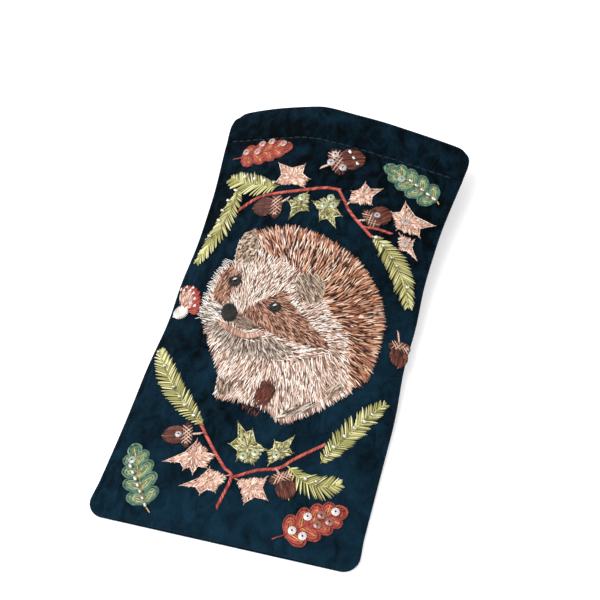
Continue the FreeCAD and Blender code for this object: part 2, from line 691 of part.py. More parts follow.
def embroider_hedgehog():
    """Cut the hedgehog into its patches, the ones that lie on top first."""
    whole = smooth_face(OUTLINE)
    eyes = [oval_face(centre, a, b, 10) for centre, a, b in EYES]
    nose = oval_face(NOSE[0], NOSE[1], NOSE[2], 30)
    groups = [
        ("hedgehog_eyes", eyes),
        ("hedgehog_nose", [nose]),
        ("hedgehog_mouth", [smooth_face(MOUTH)]),
        ("hedgehog_muzzle", [smooth_face(MUZZLE)]),
        ("hedgehog_mask", [smooth_face(MASK_LEFT), smooth_face(MASK_RIGHT)]),
        ("hedgehog_ears", [smooth_face(EAR_LEFT), smooth_face(EAR_RIGHT)]),
        ("hedgehog_feet", [smooth_face(foot) for foot in FEET]),
        ("hedgehog_spines", [corner_face(SPINE_EDGE)]),
        ("hedgehog_belly", [corner_face(BELLY)]),
        ("hedgehog_face", [whole]),
    ]
    for label, faces in groups:
        embroider(label, [face.common(whole) for face in faces])


embroider_hedgehog()

# ---------------------------------------------------------------- beads, sequins, hem stitches
SLOPE_STEP = 0.5


def normal_at(x, y):
    """Outward normal of the front velvet."""
    dx = surface_z(x + SLOPE_STEP, y) - surface_z(x - SLOPE_STEP, y)
    dy = surface_z(x, y + SLOPE_STEP) - surface_z(x, y - SLOPE_STEP)
    return Vector(-dx, -dy, 2 * SLOPE_STEP).normalize()


def ring(place, axis, radius, length):
    """Short cylinder with a hole, centred on a point."""
    start = place - axis * (length / 2)
    hole_start = place - axis * length
    body = Part.makeCylinder(radius, length, start, axis)
    return body.cut(Part.makeCylinder(size("bead_hole"), 2 * length, hole_start, axis))


def bead(x, y, turn, radius, length):
    """A bead lying on the stitches, its hole turned by an angle in degrees from +X."""
    at = spot(x, y)
    normal = normal_at(at.x, at.y)
    place = Vector(at.x, at.y, surface_z(at.x, at.y)) + normal * (LIFT + size("bead_gap") + radius)
    level = Vector(math.cos(math.radians(turn)), math.sin(math.radians(turn)), 0)
    axis = (level - normal * level.dot(normal)).normalize()
    return ring(place, axis, radius, length)


def sequin(x, y):
    """A sequin lying flat on the stitches."""
    at = spot(x, y)
    normal = normal_at(at.x, at.y)
    lift = LIFT + size("bead_gap") + size("sequin_thick") / 2
    place = Vector(at.x, at.y, surface_z(at.x, at.y)) + normal * lift
    return ring(place, normal, size("sequin_radius"), size("sequin_thick"))


def bead_row(start, end, count, radius, length):
    """Beads evenly spaced on a line, each with its hole along it."""
    turn = math.degrees(math.atan2(end[1] - start[1], end[0] - start[0]))
    row = []
    for i in range(count):
        t = i / (count - 1)
        x = start[0] + (end[0] - start[0]) * t
        y = start[1] + (end[1] - start[1]) * t
        row.append(bead(x, y, turn, radius, length))
    return row


FERN_BEADS = {
    -20: [(-32, 54), (-27.5, 52.5), (-23, 51.5), (-19, 50.5)],
    80: [(-34, 47.6), (-35.7, 43), (-36.6, 38.4), (-36.8, 34), (-38.5, 27)],
    -45: [(24, 36.4), (27.5, 34), (31.5, 30.5), (34, 28), (39.5, 21)],
    -48: [(-38.5, -29.5), (-32.5, -37.5), (-29, -41), (-26, -44), (-21.5, -47.5)],
    58: [(40, -32), (38, -35.4), (35.5, -39), (33, -43), (30.5, -48), (29, -52)],
    -5: [(24.5, -62.3), (28.4, -62.3)],
}
seed_beads = []
for turn, places in FERN_BEADS.items():
    seed_beads += [bead(x, y, turn, size("bead_radius"), size("bead_length")) for x, y in places]
add_shape("seed_beads", Part.makeCompound(seed_beads))

BUGLE_ROWS = [((30, 66), (40, 61.4), 5), ((-38, -71), (-28, -84), 7), ((5, 70.6), (9, 66.4), 3)]
bugle_beads = []
for start, end, count in BUGLE_ROWS:
    bugle_beads += bead_row(start, end, count, size("bugle_radius"), size("bugle_length"))
add_shape("bugle_beads", Part.makeCompound(bugle_beads))

SEQUINS = [
    (-36.5, 67.5), (-31.6, 67.2), (-30.6, 71), (-26.8, 71.8), (-21.4, 70.4),
    (26.5, 66), (0, 68), (-0.6, 64), (4.2, 63.2), (22, 46.4), (32.5, 47.8), (34.6, 38.6),
    (-7, 46), (3.6, 48.6), (2, 44.8), (5.4, 45.6),
    (-38.5, -68.2), (-25, -55.3), (4.2, -56.2), (0.4, -58.4), (12, -55.6),
    (37.6, -71), (29, -75.4), (25.2, -81.6), (29.2, -82.6), (33, -77.4), (36.6, -75.2), (33.4, -73.6),
]
add_shape("sequins", Part.makeCompound([sequin(x, y) for x, y in SEQUINS]))


def hem_stitches(face):
    """Row of short stitches that closes the channel, just on the bag's side of the hem."""
    pitch = size("stitch_length") + size("stitch_space")
    reach = half_width(share_at(HEM_Y)) - 6.0
    y = HEM_Y - 2 * size("stitch_radius")
    count = int(2 * reach / pitch)
    row = []
    for i in range(count):
        x = (i - (count - 1) / 2) * pitch
        across = across_at(share_at(y), x)
        radius = size("stitch_radius")
        if face == "front":
            z = surface_z(x, y) + radius + 0.1
            ahead = surface_z(x + 1, y) - surface_z(x - 1, y)
        else:
            z = back_height(share_at(y), abs(across)) - radius - 0.1
            ahead = back_height(share_at(y), abs(across_at(share_at(y), x + 1)))
            ahead -= back_height(share_at(y), abs(across_at(share_at(y), x - 1)))
        along = Vector(2, 0, ahead).normalize()
        start = Vector(x, y, z) - along * (size("stitch_length") / 2)
        if z > 2 * radius:
            row.append(Part.makeCylinder(radius, size("stitch_length"), start, along))
    add_shape("hem_stitches_" + face, Part.makeCompound(row))


hem_stitches("front")
hem_stitches("back")

# ---------------------------------------------------------------- check and write
doc.recompute()
for thing in doc.Objects:
    if "Invalid" in thing.State or "Error" in thing.State:
        raise RuntimeError("%s failed: %s" % (thing.Label, thing.State))
os.makedirs("parts", exist_ok=True)
for piece in sub_parts:
    if piece.Shape.isNull() or not piece.Shape.isValid() or piece.Shape.Volume <= 0:
        raise RuntimeError(piece.Label + " has no sound shape")
    piece.Shape.exportStep("parts/%s.step" % piece.Label)
print(len(sub_parts), "sub-parts")
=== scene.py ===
import math
from typing import NamedTuple

import bpy
import numpy as np
from bpy.props import FloatProperty, FloatVectorProperty, IntProperty, PointerProperty
from mathutils import Euler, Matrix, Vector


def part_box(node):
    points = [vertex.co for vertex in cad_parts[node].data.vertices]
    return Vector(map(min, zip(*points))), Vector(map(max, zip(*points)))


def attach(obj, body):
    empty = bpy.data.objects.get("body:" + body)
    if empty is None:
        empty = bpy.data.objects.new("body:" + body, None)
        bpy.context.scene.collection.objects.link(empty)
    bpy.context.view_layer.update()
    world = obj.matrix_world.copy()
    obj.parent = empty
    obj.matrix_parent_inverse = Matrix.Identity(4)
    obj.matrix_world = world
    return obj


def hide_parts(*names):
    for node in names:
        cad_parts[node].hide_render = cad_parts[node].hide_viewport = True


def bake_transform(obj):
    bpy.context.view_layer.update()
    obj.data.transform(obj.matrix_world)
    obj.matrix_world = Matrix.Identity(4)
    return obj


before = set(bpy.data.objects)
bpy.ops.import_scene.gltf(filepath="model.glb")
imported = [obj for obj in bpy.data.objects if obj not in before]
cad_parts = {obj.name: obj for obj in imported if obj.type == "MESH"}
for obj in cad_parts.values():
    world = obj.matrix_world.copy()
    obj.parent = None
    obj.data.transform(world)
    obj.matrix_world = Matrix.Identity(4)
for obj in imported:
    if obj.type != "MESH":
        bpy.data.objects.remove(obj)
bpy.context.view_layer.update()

bl_info = {
    "name": "Embroidered Glasses Pouch",
    "version": (1, 0, 0),
    "blender": (4, 5, 0),
    "location": "3D View > Sidebar > Pouch",
    "description": "Velvet pouch for glasses with a sprung mouth, hand embroidery, beads and sequins",
    "category": "Object",
}

MM = 0.001
HEM_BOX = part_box("front_hem_middle")
PANEL_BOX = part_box("velvet_front")


# ---------------------------------------------------------------- colours and small helpers
def channel(value):
    """One sRGB channel, 0 to 255, as linear light."""
    share = value / 255
    return share / 12.92 if share <= 0.04045 else ((share + 0.055) / 1.055) ** 2.4


def linear(code):
    """An sRGB hex colour as a linear RGBA tuple."""
    return tuple(channel(int(code[i:i + 2], 16)) for i in (1, 3, 5)) + (1.0,)


def colour_prop(name, code, description):
    return FloatVectorProperty(
        name=name, description=description, subtype="COLOR", size=3, min=0, max=1, default=linear(code)[:3])


def length_prop(name, value, description):
    return FloatProperty(name=name, description=description, unit="LENGTH", default=value * MM)


def ease(start, end, share):
    """Smooth step from 0 at start to 1 at end, on arrays too."""
    part = np.clip((share - start) / (end - start), 0.0, 1.0)
    return part * part * (3 - 2 * part)


# ---------------------------------------------------------------- what a user may change
class PouchCloth(bpy.types.PropertyGroup):
    """Sizes and colours of the cloth parts."""
    width: FloatProperty(name="Width", description="Across the bottom edge", unit="LENGTH",
                         default=2 * PANEL_BOX[1].x)
    length: FloatProperty(name="Length", description="Bottom edge to mouth edge", unit="LENGTH",
                          default=HEM_BOX[1].y - PANEL_BOX[0].y)
    waist: length_prop("Waist", 92.0, "Width where the filling draws the sides in")
    mouth: length_prop("Mouth", 98.6, "Width at the mouth")
    corner: length_prop("Corner", 6.0, "Rounding of the corners in plan")
    edge: length_prop("Edge", 2.4, "Thickness of the turned side seam")
    velvet_thick: length_prop("Velvet", 0.7, "Thickness of the velvet's ground and pile")
    hem_depth: length_prop("Hem depth", 15.5, "Mouth edge to the channel stitches")
    hem_thick: length_prop("Hem thickness", 3.5, "Both layers of the hem and the channel between them")
    velvet_low: colour_prop("Velvet shade", "#03070a", "Pile lying away from the light")
    velvet_high: colour_prop("Velvet lit", "#102938", "Pile brushed towards the light")
    sheen: colour_prop("Velvet sheen", "#3a6f8a", "Glow along the tips of the pile")
    lining: colour_prop("Lining", "#16303c", "Satin lining")


class PouchThread(bpy.types.PropertyGroup):
    """Thread sizes of the embroidery."""
    leaf: length_prop("Leaf thread", 0.5, "Strand used for the leaves")
    sides: IntProperty(name="Sides", description="Sides of a stitch's section", default=5, min=3, max=12)
    rings: IntProperty(name="Rings", description="Points along a stitch", default=5, min=3, max=16)
    seed: IntProperty(name="Seed", description="Start of every random choice", default=7)


class PouchTrim(bpy.types.PropertyGroup):
    """Beads and sequins."""
    bead: length_prop("Seed bead", 1.95, "Outside width of a seed bead")
    bugle: length_prop("Bugle bead", 1.35, "Outside width of a bugle bead")
    bugle_length: length_prop("Bugle length", 2.0, "Length of a bugle bead")
    sequin: length_prop("Sequin", 3.2, "Outside width of a cup sequin")


class PouchStage(bpy.types.PropertyGroup):
    """Floor, light and camera."""
    floor: colour_prop("Floor", "#fbfafb", "Pale table")
    key_watts: FloatProperty(name="Key light", description="Power of the main softbox", default=10.5)
    sky: FloatProperty(name="Sky", description="Strength of the white surroundings", default=0.66)
    lens: FloatProperty(name="Lens", description="Focal length in millimetres on a 36 mm sensor", default=96.57)


# ---------------------------------------------------------------- the pouch's surfaces
# Heights and lengths are in millimetres; a share runs from 0 at the foot to 1 at the mouth.
SOFT_BEND = 0.08
BACK_DIP = 0.4
# How flat the faces stay before they fall to the sides: higher is flatter.
FRONT_POWER, BACK_POWER, MOUTH_POWER = 4.0, 5.0, 1.15
SEAM_FOOT, SEAM_MOUTH = 2.6, 14.4
CROWN_FOOT, CROWN_ROLL, CROWN_MOUTH = 1.2, 3.0, 12.2
ROLL_LENGTH = 5.0
BEND_X = (HEM_BOX[0].x + HEM_BOX[1].x) / 2 / MM
LIP_FALLS_FROM = -20.0
# The side pins stand at this share of the way from the bend to the side.
PIN_SHARE = 0.885
SPRING_ROOM = 1.5
CHANNEL_SWELL = 0.35


class Bag:
    """The two outer faces of the pouch in millimetres, as functions of a place in plan."""

    def __init__(self, cloth):
        self.half = cloth.width / 2 / MM
        self.length = cloth.length / MM
        self.waist = cloth.waist / 2 / MM
        self.mouth = cloth.mouth / 2 / MM
        self.corner = cloth.corner / MM
        self.edge = cloth.edge / MM
        self.hem_thick = cloth.hem_thick / MM
        self.foot_y = -self.length / 2
        self.mouth_y = self.length / 2
        self.hem_y = self.mouth_y - cloth.hem_depth / MM

    def share(self, y):
        return np.clip((y - self.foot_y) / self.length, 0.0, 1.0)

    def half_width(self, y):
        s = self.share(y)
        lower = self.half + (self.waist - self.half) * ease(0.0, 0.65, s)
        return lower + (self.mouth - self.waist) * ease(0.75, 1.0, s)

    def ridge(self, y):
        return BEND_X * ease(0.2, 0.95, self.share(y))

    def across(self, x, y):
        """0 on the ridge and 1 at the sides."""
        ridge, half = self.ridge(y), self.half_width(y)
        return np.clip(np.where(x > ridge, (x - ridge) / (half - ridge), (ridge - x) / (half + ridge)), 0, 1)

    def bow(self, across, power):
        low = SOFT_BEND ** power
        high = (1 + SOFT_BEND ** 2) ** (power / 2)
        return ((across ** 2 + SOFT_BEND ** 2) ** (power / 2) - low) / (high - low)

    def edge_z(self, y):
        return SEAM_FOOT + (SEAM_MOUTH - SEAM_FOOT) * ease(0.15, 1.0, self.share(y))

    def crown(self, y):
        s = self.share(y)
        swell = CROWN_MOUTH - CROWN_FOOT - CROWN_ROLL
        return CROWN_FOOT + CROWN_ROLL * (1 - np.exp(-s * self.length / ROLL_LENGTH)) + swell * ease(0, 0.85, s)

    def front_bow(self, x, y):
        power = FRONT_POWER + (MOUTH_POWER - FRONT_POWER) * ease(0.25, 0.95, self.share(y))
        return self.bow(self.across(x, y), power)

    def back_bow(self, x, y):
        power = BACK_POWER + (MOUTH_POWER - BACK_POWER) * ease(0.3, 0.95, self.share(y))
        return self.bow(self.across(x, y), power)

    def relief(self, x, y):
        """Small unevenness of the soft front: puckers at the seams, the hem's groove and slow waves."""
        side = self.half_width(y) - np.abs(x)
        foot = y - self.foot_y
        waves = 0.22 * np.sin(x / 8.3 + 1.6 * np.sin(y / 23.0)) * np.sin(y / 12.7 + 0.9)
        waves += 0.10 * np.sin(x / 3.9 - y / 6.1 + 0.8 * np.sin(x / 11.0))
        pucker = 0.26 * np.sin(y / 2.9 + 1.7 * np.sin(y / 9.5)) * np.exp(-((side - 3.2) / 2.6) ** 2)
        pucker += 0.2 * np.sin(x / 3.3 + 1.4 * np.sin(x / 12.0)) * np.exp(-((foot - 4.0) / 2.8) ** 2)
        groove = -0.5 * np.exp(-((y - self.hem_y) / 0.9) ** 2)
        groove += 0.12 * np.sin(x / 1.5) * np.exp(-((y - self.hem_y) / 2.2) ** 2)
        channel = ease(self.hem_y + 1, self.hem_y + 5, y) * (1 - ease(self.mouth_y - 4.0, self.mouth_y - 0.5, y))
        seam = -0.55 * np.exp(-((side - 2.2) / 0.8) ** 2) * ease(0, 6, foot)
        fade = ease(0.6, 5.0, np.minimum(side, foot))
        return (waves + pucker) * fade + groove + CHANNEL_SWELL * channel + seam

    def front(self, x, y):
        return self.edge_z(y) + self.crown(y) * (1 - self.front_bow(x, y)) + self.relief(x, y)

    def back(self, x, y):
        rise = self.edge_z(y) - self.edge + BACK_DIP
        return np.maximum(rise * self.back_bow(x, y) - BACK_DIP, 0.0)

    def lip_ramp(self, y):
        """How much of the mouth's motion a place takes, from none on the belly to all at the hem."""
        return ease(LIP_FALLS_FROM, self.hem_y, y)

    def lip_bow(self, x, y):
        """0 at the bend of the mouth and 1 from the side pins outwards."""
        return self.bow(np.minimum(self.across(x, y) / PIN_SHARE, 1.0), MOUTH_POWER)

    def front_weight(self, x, y):
        return self.lip_ramp(y) * (1 - 0.5 * self.lip_bow(x, y))

    def back_weight(self, x, y):
        return 0.5 * self.lip_ramp(y) * self.lip_bow(x, y)

    def place(self, x, y, lift):
        """Points over the front at a height above it, with the front's normals."""
        step = 0.4
        dx = (self.front(x + step, y) - self.front(x - step, y)) / (2 * step)
        dy = (self.front(x, y + step) - self.front(x, y - step)) / (2 * step)
        normal = np.stack([-dx, -dy, np.ones_like(dx)], 1)
        normal /= np.linalg.norm(normal, axis=1)[:, None]
        return np.stack([x, y, self.front(x, y)], 1) + normal * np.asarray(lift)[..., None], normal


def the_bag():
    return Bag(bpy.context.scene.pouch_cloth)


# ---------------------------------------------------------------- nodes
def add_node(tree, kind, inputs=None, **settings):
    """Add one node with its settings; an input is a plain value, a socket, or a node for its first output."""
    node = tree.nodes.new(kind)
    for key, value in settings.items():
        setattr(node, key, value)
    for key, value in (inputs or {}).items():
        if isinstance(value, bpy.types.Node):
            value = value.outputs[0]
        if isinstance(value, bpy.types.NodeSocket):
            tree.links.new(value, node.inputs[key])
        else:
            node.inputs[key].default_value = value
    return node


def compute(tree, operation, *terms):
    return add_node(tree, "ShaderNodeMath", dict(enumerate(terms)), operation=operation)


def noise(tree, place, size, detail=2.0, **more):
    """Noise with patches about size millimetres across."""
    return add_node(tree, "ShaderNodeTexNoise", {
        "Vector": place, "Scale": 1 / (size * MM), "Detail": detail, **more})


def remap(tree, value, low, high, start=0.0, end=1.0):
    """Turn the range start to end into low to high."""
    return add_node(tree, "ShaderNodeMapRange", {
        "Value": value, "From Min": start, "From Max": end, "To Min": low, "To Max": high})


def bump(tree, height, strength, distance, **more):
    """Bump whose height is distance millimetres."""
    return add_node(tree, "ShaderNodeBump", {
        "Height": height, "Strength": strength, "Distance": distance * MM, **more})


def between_colours(tree, share, low, high):
    return add_node(tree, "ShaderNodeMix", {
        0: share, 6: (*low[:3], 1.0), 7: (*high[:3], 1.0)}, data_type="RGBA").outputs[2]


def dyed(tree, shade):
    """The piece's own thread colour, made lighter or darker by a shade."""
    colour = add_node(tree, "ShaderNodeAttribute", attribute_name="thread_colour")
    return add_node(tree, "ShaderNodeVectorMath", {0: colour, "Scale": shade}, operation="SCALE")


def object_place(tree):
    return add_node(tree, "ShaderNodeTexCoord").outputs["Object"]


def principled(tree, inputs):
    return add_node(tree, "ShaderNodeBsdfPrincipled", inputs)


def material(name):
    """Make a material once; the decorated function fills its tree and gives its shader."""
    def wrap(shade):
        def get():
            made = bpy.data.materials.get(name)
            if made is None:
                made = bpy.data.materials.new(name)
                made.use_nodes = True
                made.node_tree.nodes.clear()
                add_node(made.node_tree, "ShaderNodeOutputMaterial", {"Surface": shade(made.node_tree)})
            return made
        return get
    return wrap


# ---------------------------------------------------------------- materials
NAP_PATCH, NAP_STREAK, PILE_TUFT = 24.0, 5.0, 0.5
# Painted light: the velvet's colour runs lighter towards the foot and darker towards the mouth.
PAINTED_FOOT_LIGHT = (0.16, -0.14, -0.09, 0.06)
NAP_FLECK, NAP_RAMP = 0.7, (1.08, 1.78)
FOLD_SHADE_SIZE, WEAVE_SIZE, FIBRE_SIZE = 9.0, 2.2, 0.9
CLOUD_SIZE, GLASS_SIZE, ROLLING_SIZE = 1.4, 0.7, 0.25
STRAND_SCALE = (1.5, 7.0, 7.0)


@material("cotton_velvet")
def velvet(tree):
    """Cotton velvet, woven pile: deep colour, painted lighter in patches where the brushed nap catches the light and
    painted lighter towards the foot, and glows at its tips.
    """
    cloth = bpy.context.scene.pouch_cloth
    place = object_place(tree)
    patch = noise(tree, place, NAP_PATCH, 3.0, Roughness=0.6, Distortion=0.6)
    stretched = add_node(tree, "ShaderNodeMapping", {"Vector": place, "Scale": (1.0, 0.62, 1.0)})
    streak = noise(tree, stretched, NAP_STREAK, 4.0, Distortion=1.2)
    height = add_node(tree, "ShaderNodeSeparateXYZ", {0: place})
    # Painted light: lighter towards the foot, darker towards the mouth.
    lean = remap(tree, height.outputs["Y"], *PAINTED_FOOT_LIGHT)
    nap_and_painted_light = compute(tree, "ADD", compute(tree, "ADD", patch, streak), lean)
    # The pile's own tufts are finer than this; they are drawn coarser so that the nap shows.
    tuft = noise(tree, place, PILE_TUFT, 2.0, Roughness=0.7)
    flecked = compute(tree, "MULTIPLY_ADD", tuft, NAP_FLECK, nap_and_painted_light)
    ramp = remap(tree, flecked, 0.0, 1.0, *NAP_RAMP)
    soft = bump(tree, streak, 0.35, 0.9, Normal=bump(tree, tuft, 0.8, 0.35))
    return principled(tree, {
        "Base Color": between_colours(tree, ramp, cloth.velvet_low, cloth.velvet_high), "Roughness": 0.95,
        "Specular IOR Level": 0.03, "Sheen Weight": 0.15, "Sheen Roughness": 0.4,
        "Sheen Tint": (*cloth.sheen, 1.0), "Normal": soft})


@material("polyester_satin")
def satin(tree):
    """Polyester satin lining, woven with long floats: smooth, with a soft shine across the weave."""
    lining = bpy.context.scene.pouch_cloth.lining
    place = object_place(tree)
    weave = add_node(tree, "ShaderNodeTexWave", {
        "Vector": place, "Scale": 1 / (WEAVE_SIZE * MM), "Distortion": 1.0}).outputs["Fac"]
    # Painted shade of folds: the lining darkens to under half its colour in patches about 9 mm across.
    colour = between_colours(tree, noise(tree, place, FOLD_SHADE_SIZE), tuple(0.45 * c for c in lining), lining)
    return principled(tree, {
        "Base Color": colour, "Roughness": 0.42, "Sheen Weight": 0.1, "Normal": bump(tree, weave, 0.3, 0.08)})


@material("polyester_wadding")
def wadding_felt(tree):
    """Needled polyester wadding: off-white, matt and fibrous."""
    fibre = noise(tree, object_place(tree), FIBRE_SIZE, 5.0, Distortion=2.0)
    return principled(tree, {
        "Base Color": between_colours(tree, fibre, linear("#cfcbc2"), linear("#f1efe8")), "Roughness": 0.95,
        "Normal": bump(tree, fibre, 0.6, 0.4)})


@material("cotton_floss")
def floss(tree):
    """Mercerised cotton floss, laid as stitches: fine strands along each stitch and a soft lustre."""
    along = add_node(tree, "ShaderNodeAttribute", attribute_name="thread_at").outputs["Vector"]
    strands = add_node(tree, "ShaderNodeMapping", {"Vector": along, "Scale": STRAND_SCALE})
    strand = add_node(tree, "ShaderNodeTexNoise", {"Vector": strands, "Scale": 1.0, "Detail": 2.0})
    return principled(tree, {
        "Base Color": dyed(tree, remap(tree, strand, 0.62, 1.16, 0.3, 0.7)), "Roughness": 0.5,
        "Specular IOR Level": 0.4, "Sheen Weight": 0.15, "Sheen Roughness": 0.4,
        "Normal": bump(tree, strand, 0.5, 0.1)})


@material("pearl_film")
def pearl_film(tree):
    """Pearlised polyester film, pressed into cups: tinted body under a smooth glossy face."""
    cloud = noise(tree, object_place(tree), CLOUD_SIZE, 1.0)
    return principled(tree, {
        "Base Color": dyed(tree, remap(tree, cloud, 0.92, 1.06)), "Roughness": 0.16, "IOR": 1.57,
        "Transmission Weight": 0.55, "Coat Weight": 1.0, "Coat Roughness": 0.05})


@material("silver_lined_glass")
def lined_glass(tree):
    """Silver-lined glass bead: the mirror in its hole shines through lightly tinted glass."""
    depth = noise(tree, object_place(tree), GLASS_SIZE, 1.0)
    return principled(tree, {
        "Base Color": dyed(tree, remap(tree, depth, 0.5, 1.25)), "Metallic": 0.85, "Roughness": 0.1,
        "Coat Weight": 1.0, "Coat Roughness": 0.03})


@material("cold_rolled_steel")
def spring_steel(tree):
    """Cold-rolled spring steel strip: grey metal with rolling lines along the strip."""
    lines = add_node(tree, "ShaderNodeMapping", {"Vector": object_place(tree), "Scale": (0.05, 1.0, 1.0)})
    grain = noise(tree, lines, ROLLING_SIZE)
    return principled(tree, {
        "Base Color": linear("#a9abad"), "Metallic": 1.0, "Roughness": remap(tree, grain, 0.24, 0.44),
        "Normal": bump(tree, grain, 0.15, 0.02)})


@material("painted_table")
def table_paint(tree):
    """Pale matt paint on the table, lit a little from itself so that it stays near white."""
    colour = (*bpy.context.scene.pouch_stage.floor, 1.0)
    return principled(tree, {
        "Base Color": colour, "Roughness": 0.75, "Emission Color": colour, "Emission Strength": FLOOR_GLOW})


# ---------------------------------------------------------------- node trees that lay stitches
def point_tree(name, inputs):
    """Make a geometry tree once: it puts a copy of the decorated function's shape on every point."""
    def wrap(draw):
        def get():
            made = bpy.data.node_groups.get(name)
            if made:
                return made
            tree = bpy.data.node_groups.new(name, "GeometryNodeTree")
            tree.interface.new_socket("Geometry", in_out="INPUT", socket_type="NodeSocketGeometry")
            for label, (kind, value) in inputs.items():
                socket = tree.interface.new_socket(label, in_out="INPUT", socket_type="NodeSocket" + kind)
                socket.default_value = value
            tree.interface.new_socket("Material", in_out="INPUT", socket_type="NodeSocketMaterial")
            tree.interface.new_socket("Geometry", in_out="OUTPUT", socket_type="NodeSocketGeometry")
            given = add_node(tree, "NodeGroupInput").outputs
            along, up, measure = (
                add_node(tree, "GeometryNodeInputNamedAttribute", {"Name": label}, data_type="FLOAT_VECTOR")
                for label in POINT_FIELDS)
            turn = add_node(tree, "FunctionNodeAxesToRotation", {
                "Primary Axis": along, "Secondary Axis": up}, primary_axis="X", secondary_axis="Z")
            smooth = add_node(tree, "GeometryNodeSetShadeSmooth", {"Geometry": draw(tree, given)})
            copies = add_node(tree, "GeometryNodeInstanceOnPoints", {
                "Points": given["Geometry"], "Instance": smooth, "Rotation": turn, "Scale": measure})
            real = add_node(tree, "GeometryNodeRealizeInstances", {"Geometry": copies})
            skinned = add_node(tree, "GeometryNodeSetMaterial", {"Geometry": real, "Material": given["Material"]})
            add_node(tree, "NodeGroupOutput", {"Geometry": skinned})
            return tree
        return get
    return wrap


POINT_FIELDS = ("along", "up", "measure")
WALL_SIDES, BAND_SIDES, CUP_TILT = 6, 8, 0.32
TAPER_POWER = 1.6


def circle(tree, sides, radius):
    return add_node(tree, "GeometryNodeCurvePrimitiveCircle", {"Resolution": sides, "Radius": radius})


def move(tree, shape, **how):
    return add_node(tree, "GeometryNodeTransform", {"Geometry": shape, **how})


@point_tree("Stitches", {
    "Sides": ("Int", 5), "Rings": ("Int", 5), "Taper": ("Float", 0.6), "Arch": ("Float", 0.5)})
def stitch_tree(tree, given):
    """A stitch: a tapered, gently arched strand."""
    line = add_node(tree, "GeometryNodeCurvePrimitiveLine", {"Start": (-0.5, 0, 0), "End": (0.5, 0, 0)})
    fine = add_node(tree, "GeometryNodeResampleCurve", {"Curve": line, "Count": given["Rings"]})
    split = add_node(tree, "ShaderNodeSeparateXYZ", {0: add_node(tree, "GeometryNodeInputPosition")})
    # 0 in the middle of the stitch and 1 at its ends.
    far = compute(tree, "POWER", compute(tree, "MULTIPLY", split, 2.0), 2.0)
    down = compute(tree, "MULTIPLY", compute(tree, "MULTIPLY", far, given["Arch"]), -1.0)
    bent = add_node(tree, "GeometryNodeSetPosition", {
        "Geometry": fine, "Offset": add_node(tree, "ShaderNodeCombineXYZ", {2: down})})
    lost = compute(tree, "MULTIPLY", compute(tree, "POWER", far, TAPER_POWER), given["Taper"])
    strand = add_node(tree, "GeometryNodeCurveToMesh", {
        "Curve": bent, "Profile Curve": circle(tree, given["Sides"], 0.5),
        "Scale": compute(tree, "SUBTRACT", 1.0, lost), "Fill Caps": True})
    return add_node(tree, "GeometryNodeStoreNamedAttribute", {
        "Geometry": strand, "Name": "thread_at", "Value": add_node(tree, "GeometryNodeInputPosition")},
        data_type="FLOAT_VECTOR", domain="POINT")


@point_tree("Beads", {"Sides": ("Int", 10), "Wall": ("Float", 0.31)})
def bead_tree(tree, given):
    """A bead: a rounded ring whose hole runs along X."""
    ring = circle(tree, given["Sides"], compute(tree, "SUBTRACT", 0.5, given["Wall"]))
    turned = move(tree, ring, Rotation=(0, math.pi / 2, 0))
    return add_node(tree, "GeometryNodeCurveToMesh", {
        "Curve": turned, "Profile Curve": circle(tree, WALL_SIDES, given["Wall"])})


@point_tree("Sequins", {"Sides": ("Int", 16), "Hole": ("Float", 0.11), "Rim": ("Float", 0.03)})
def sequin_tree(tree, given):
    """A cup sequin: a thin dished ring whose axis runs along Z."""
    middle = compute(tree, "MULTIPLY", compute(tree, "ADD", 0.5, given["Hole"]), 0.5)
    reach = compute(tree, "SUBTRACT", 0.5, given["Hole"])
    flat = add_node(tree, "ShaderNodeCombineXYZ", {0: reach, 1: given["Rim"], 2: 1.0})
    thin = move(tree, circle(tree, BAND_SIDES, 0.5), Scale=flat)
    return add_node(tree, "GeometryNodeCurveToMesh", {
        "Curve": circle(tree, given["Sides"], middle),
        "Profile Curve": move(tree, thin, Rotation=(0, 0, CUP_TILT))})


def keep_mesh(name, mesh):
    """A scene object for a finished mesh, at the origin."""
    piece = bpy.data.objects.new(name, mesh)
    mesh.name = name
    bpy.context.scene.collection.objects.link(piece)
    return piece


def bake_modifiers(piece):
    """Turn a piece's modifiers into its mesh."""
    depsgraph = bpy.context.evaluated_depsgraph_get()
    solid = bpy.data.meshes.new_from_object(piece.evaluated_get(depsgraph))
    piece.modifiers.clear()
    piece.data = solid
    solid.name = piece.name
    return piece


def run_tree(name, tree, points, along, up, measure, colours, values, cover):
    """Run a tree on bare points, in millimetres, and keep the result as a plain mesh."""
    mesh = bpy.data.meshes.new(name)
    mesh.from_pydata((points * MM).tolist(), [], [])
    for label, data in zip(POINT_FIELDS, (along, up, measure * MM)):
        field = mesh.attributes.new(label, "FLOAT_VECTOR", "POINT")
        field.data.foreach_set("vector", np.ascontiguousarray(data, np.float32).ravel())
    dye = mesh.attributes.new("thread_colour", "FLOAT_COLOR", "POINT")
    dye.data.foreach_set("color", np.ascontiguousarray(colours, np.float32).ravel())
    piece = keep_mesh(name, mesh)
    modifier = piece.modifiers.new("Nodes", "NODES")
    modifier.node_group = tree
    sockets = {item.name: item.identifier for item in tree.interface.items_tree if item.in_out == "INPUT"}
    for label, value in {**values, "Material": cover}.items():
        modifier[sockets[label]] = value
    bake_modifiers(piece)
    for label in POINT_FIELDS:
        left = piece.data.attributes.get(label)
        if left:
            piece.data.attributes.remove(left)
    return piece


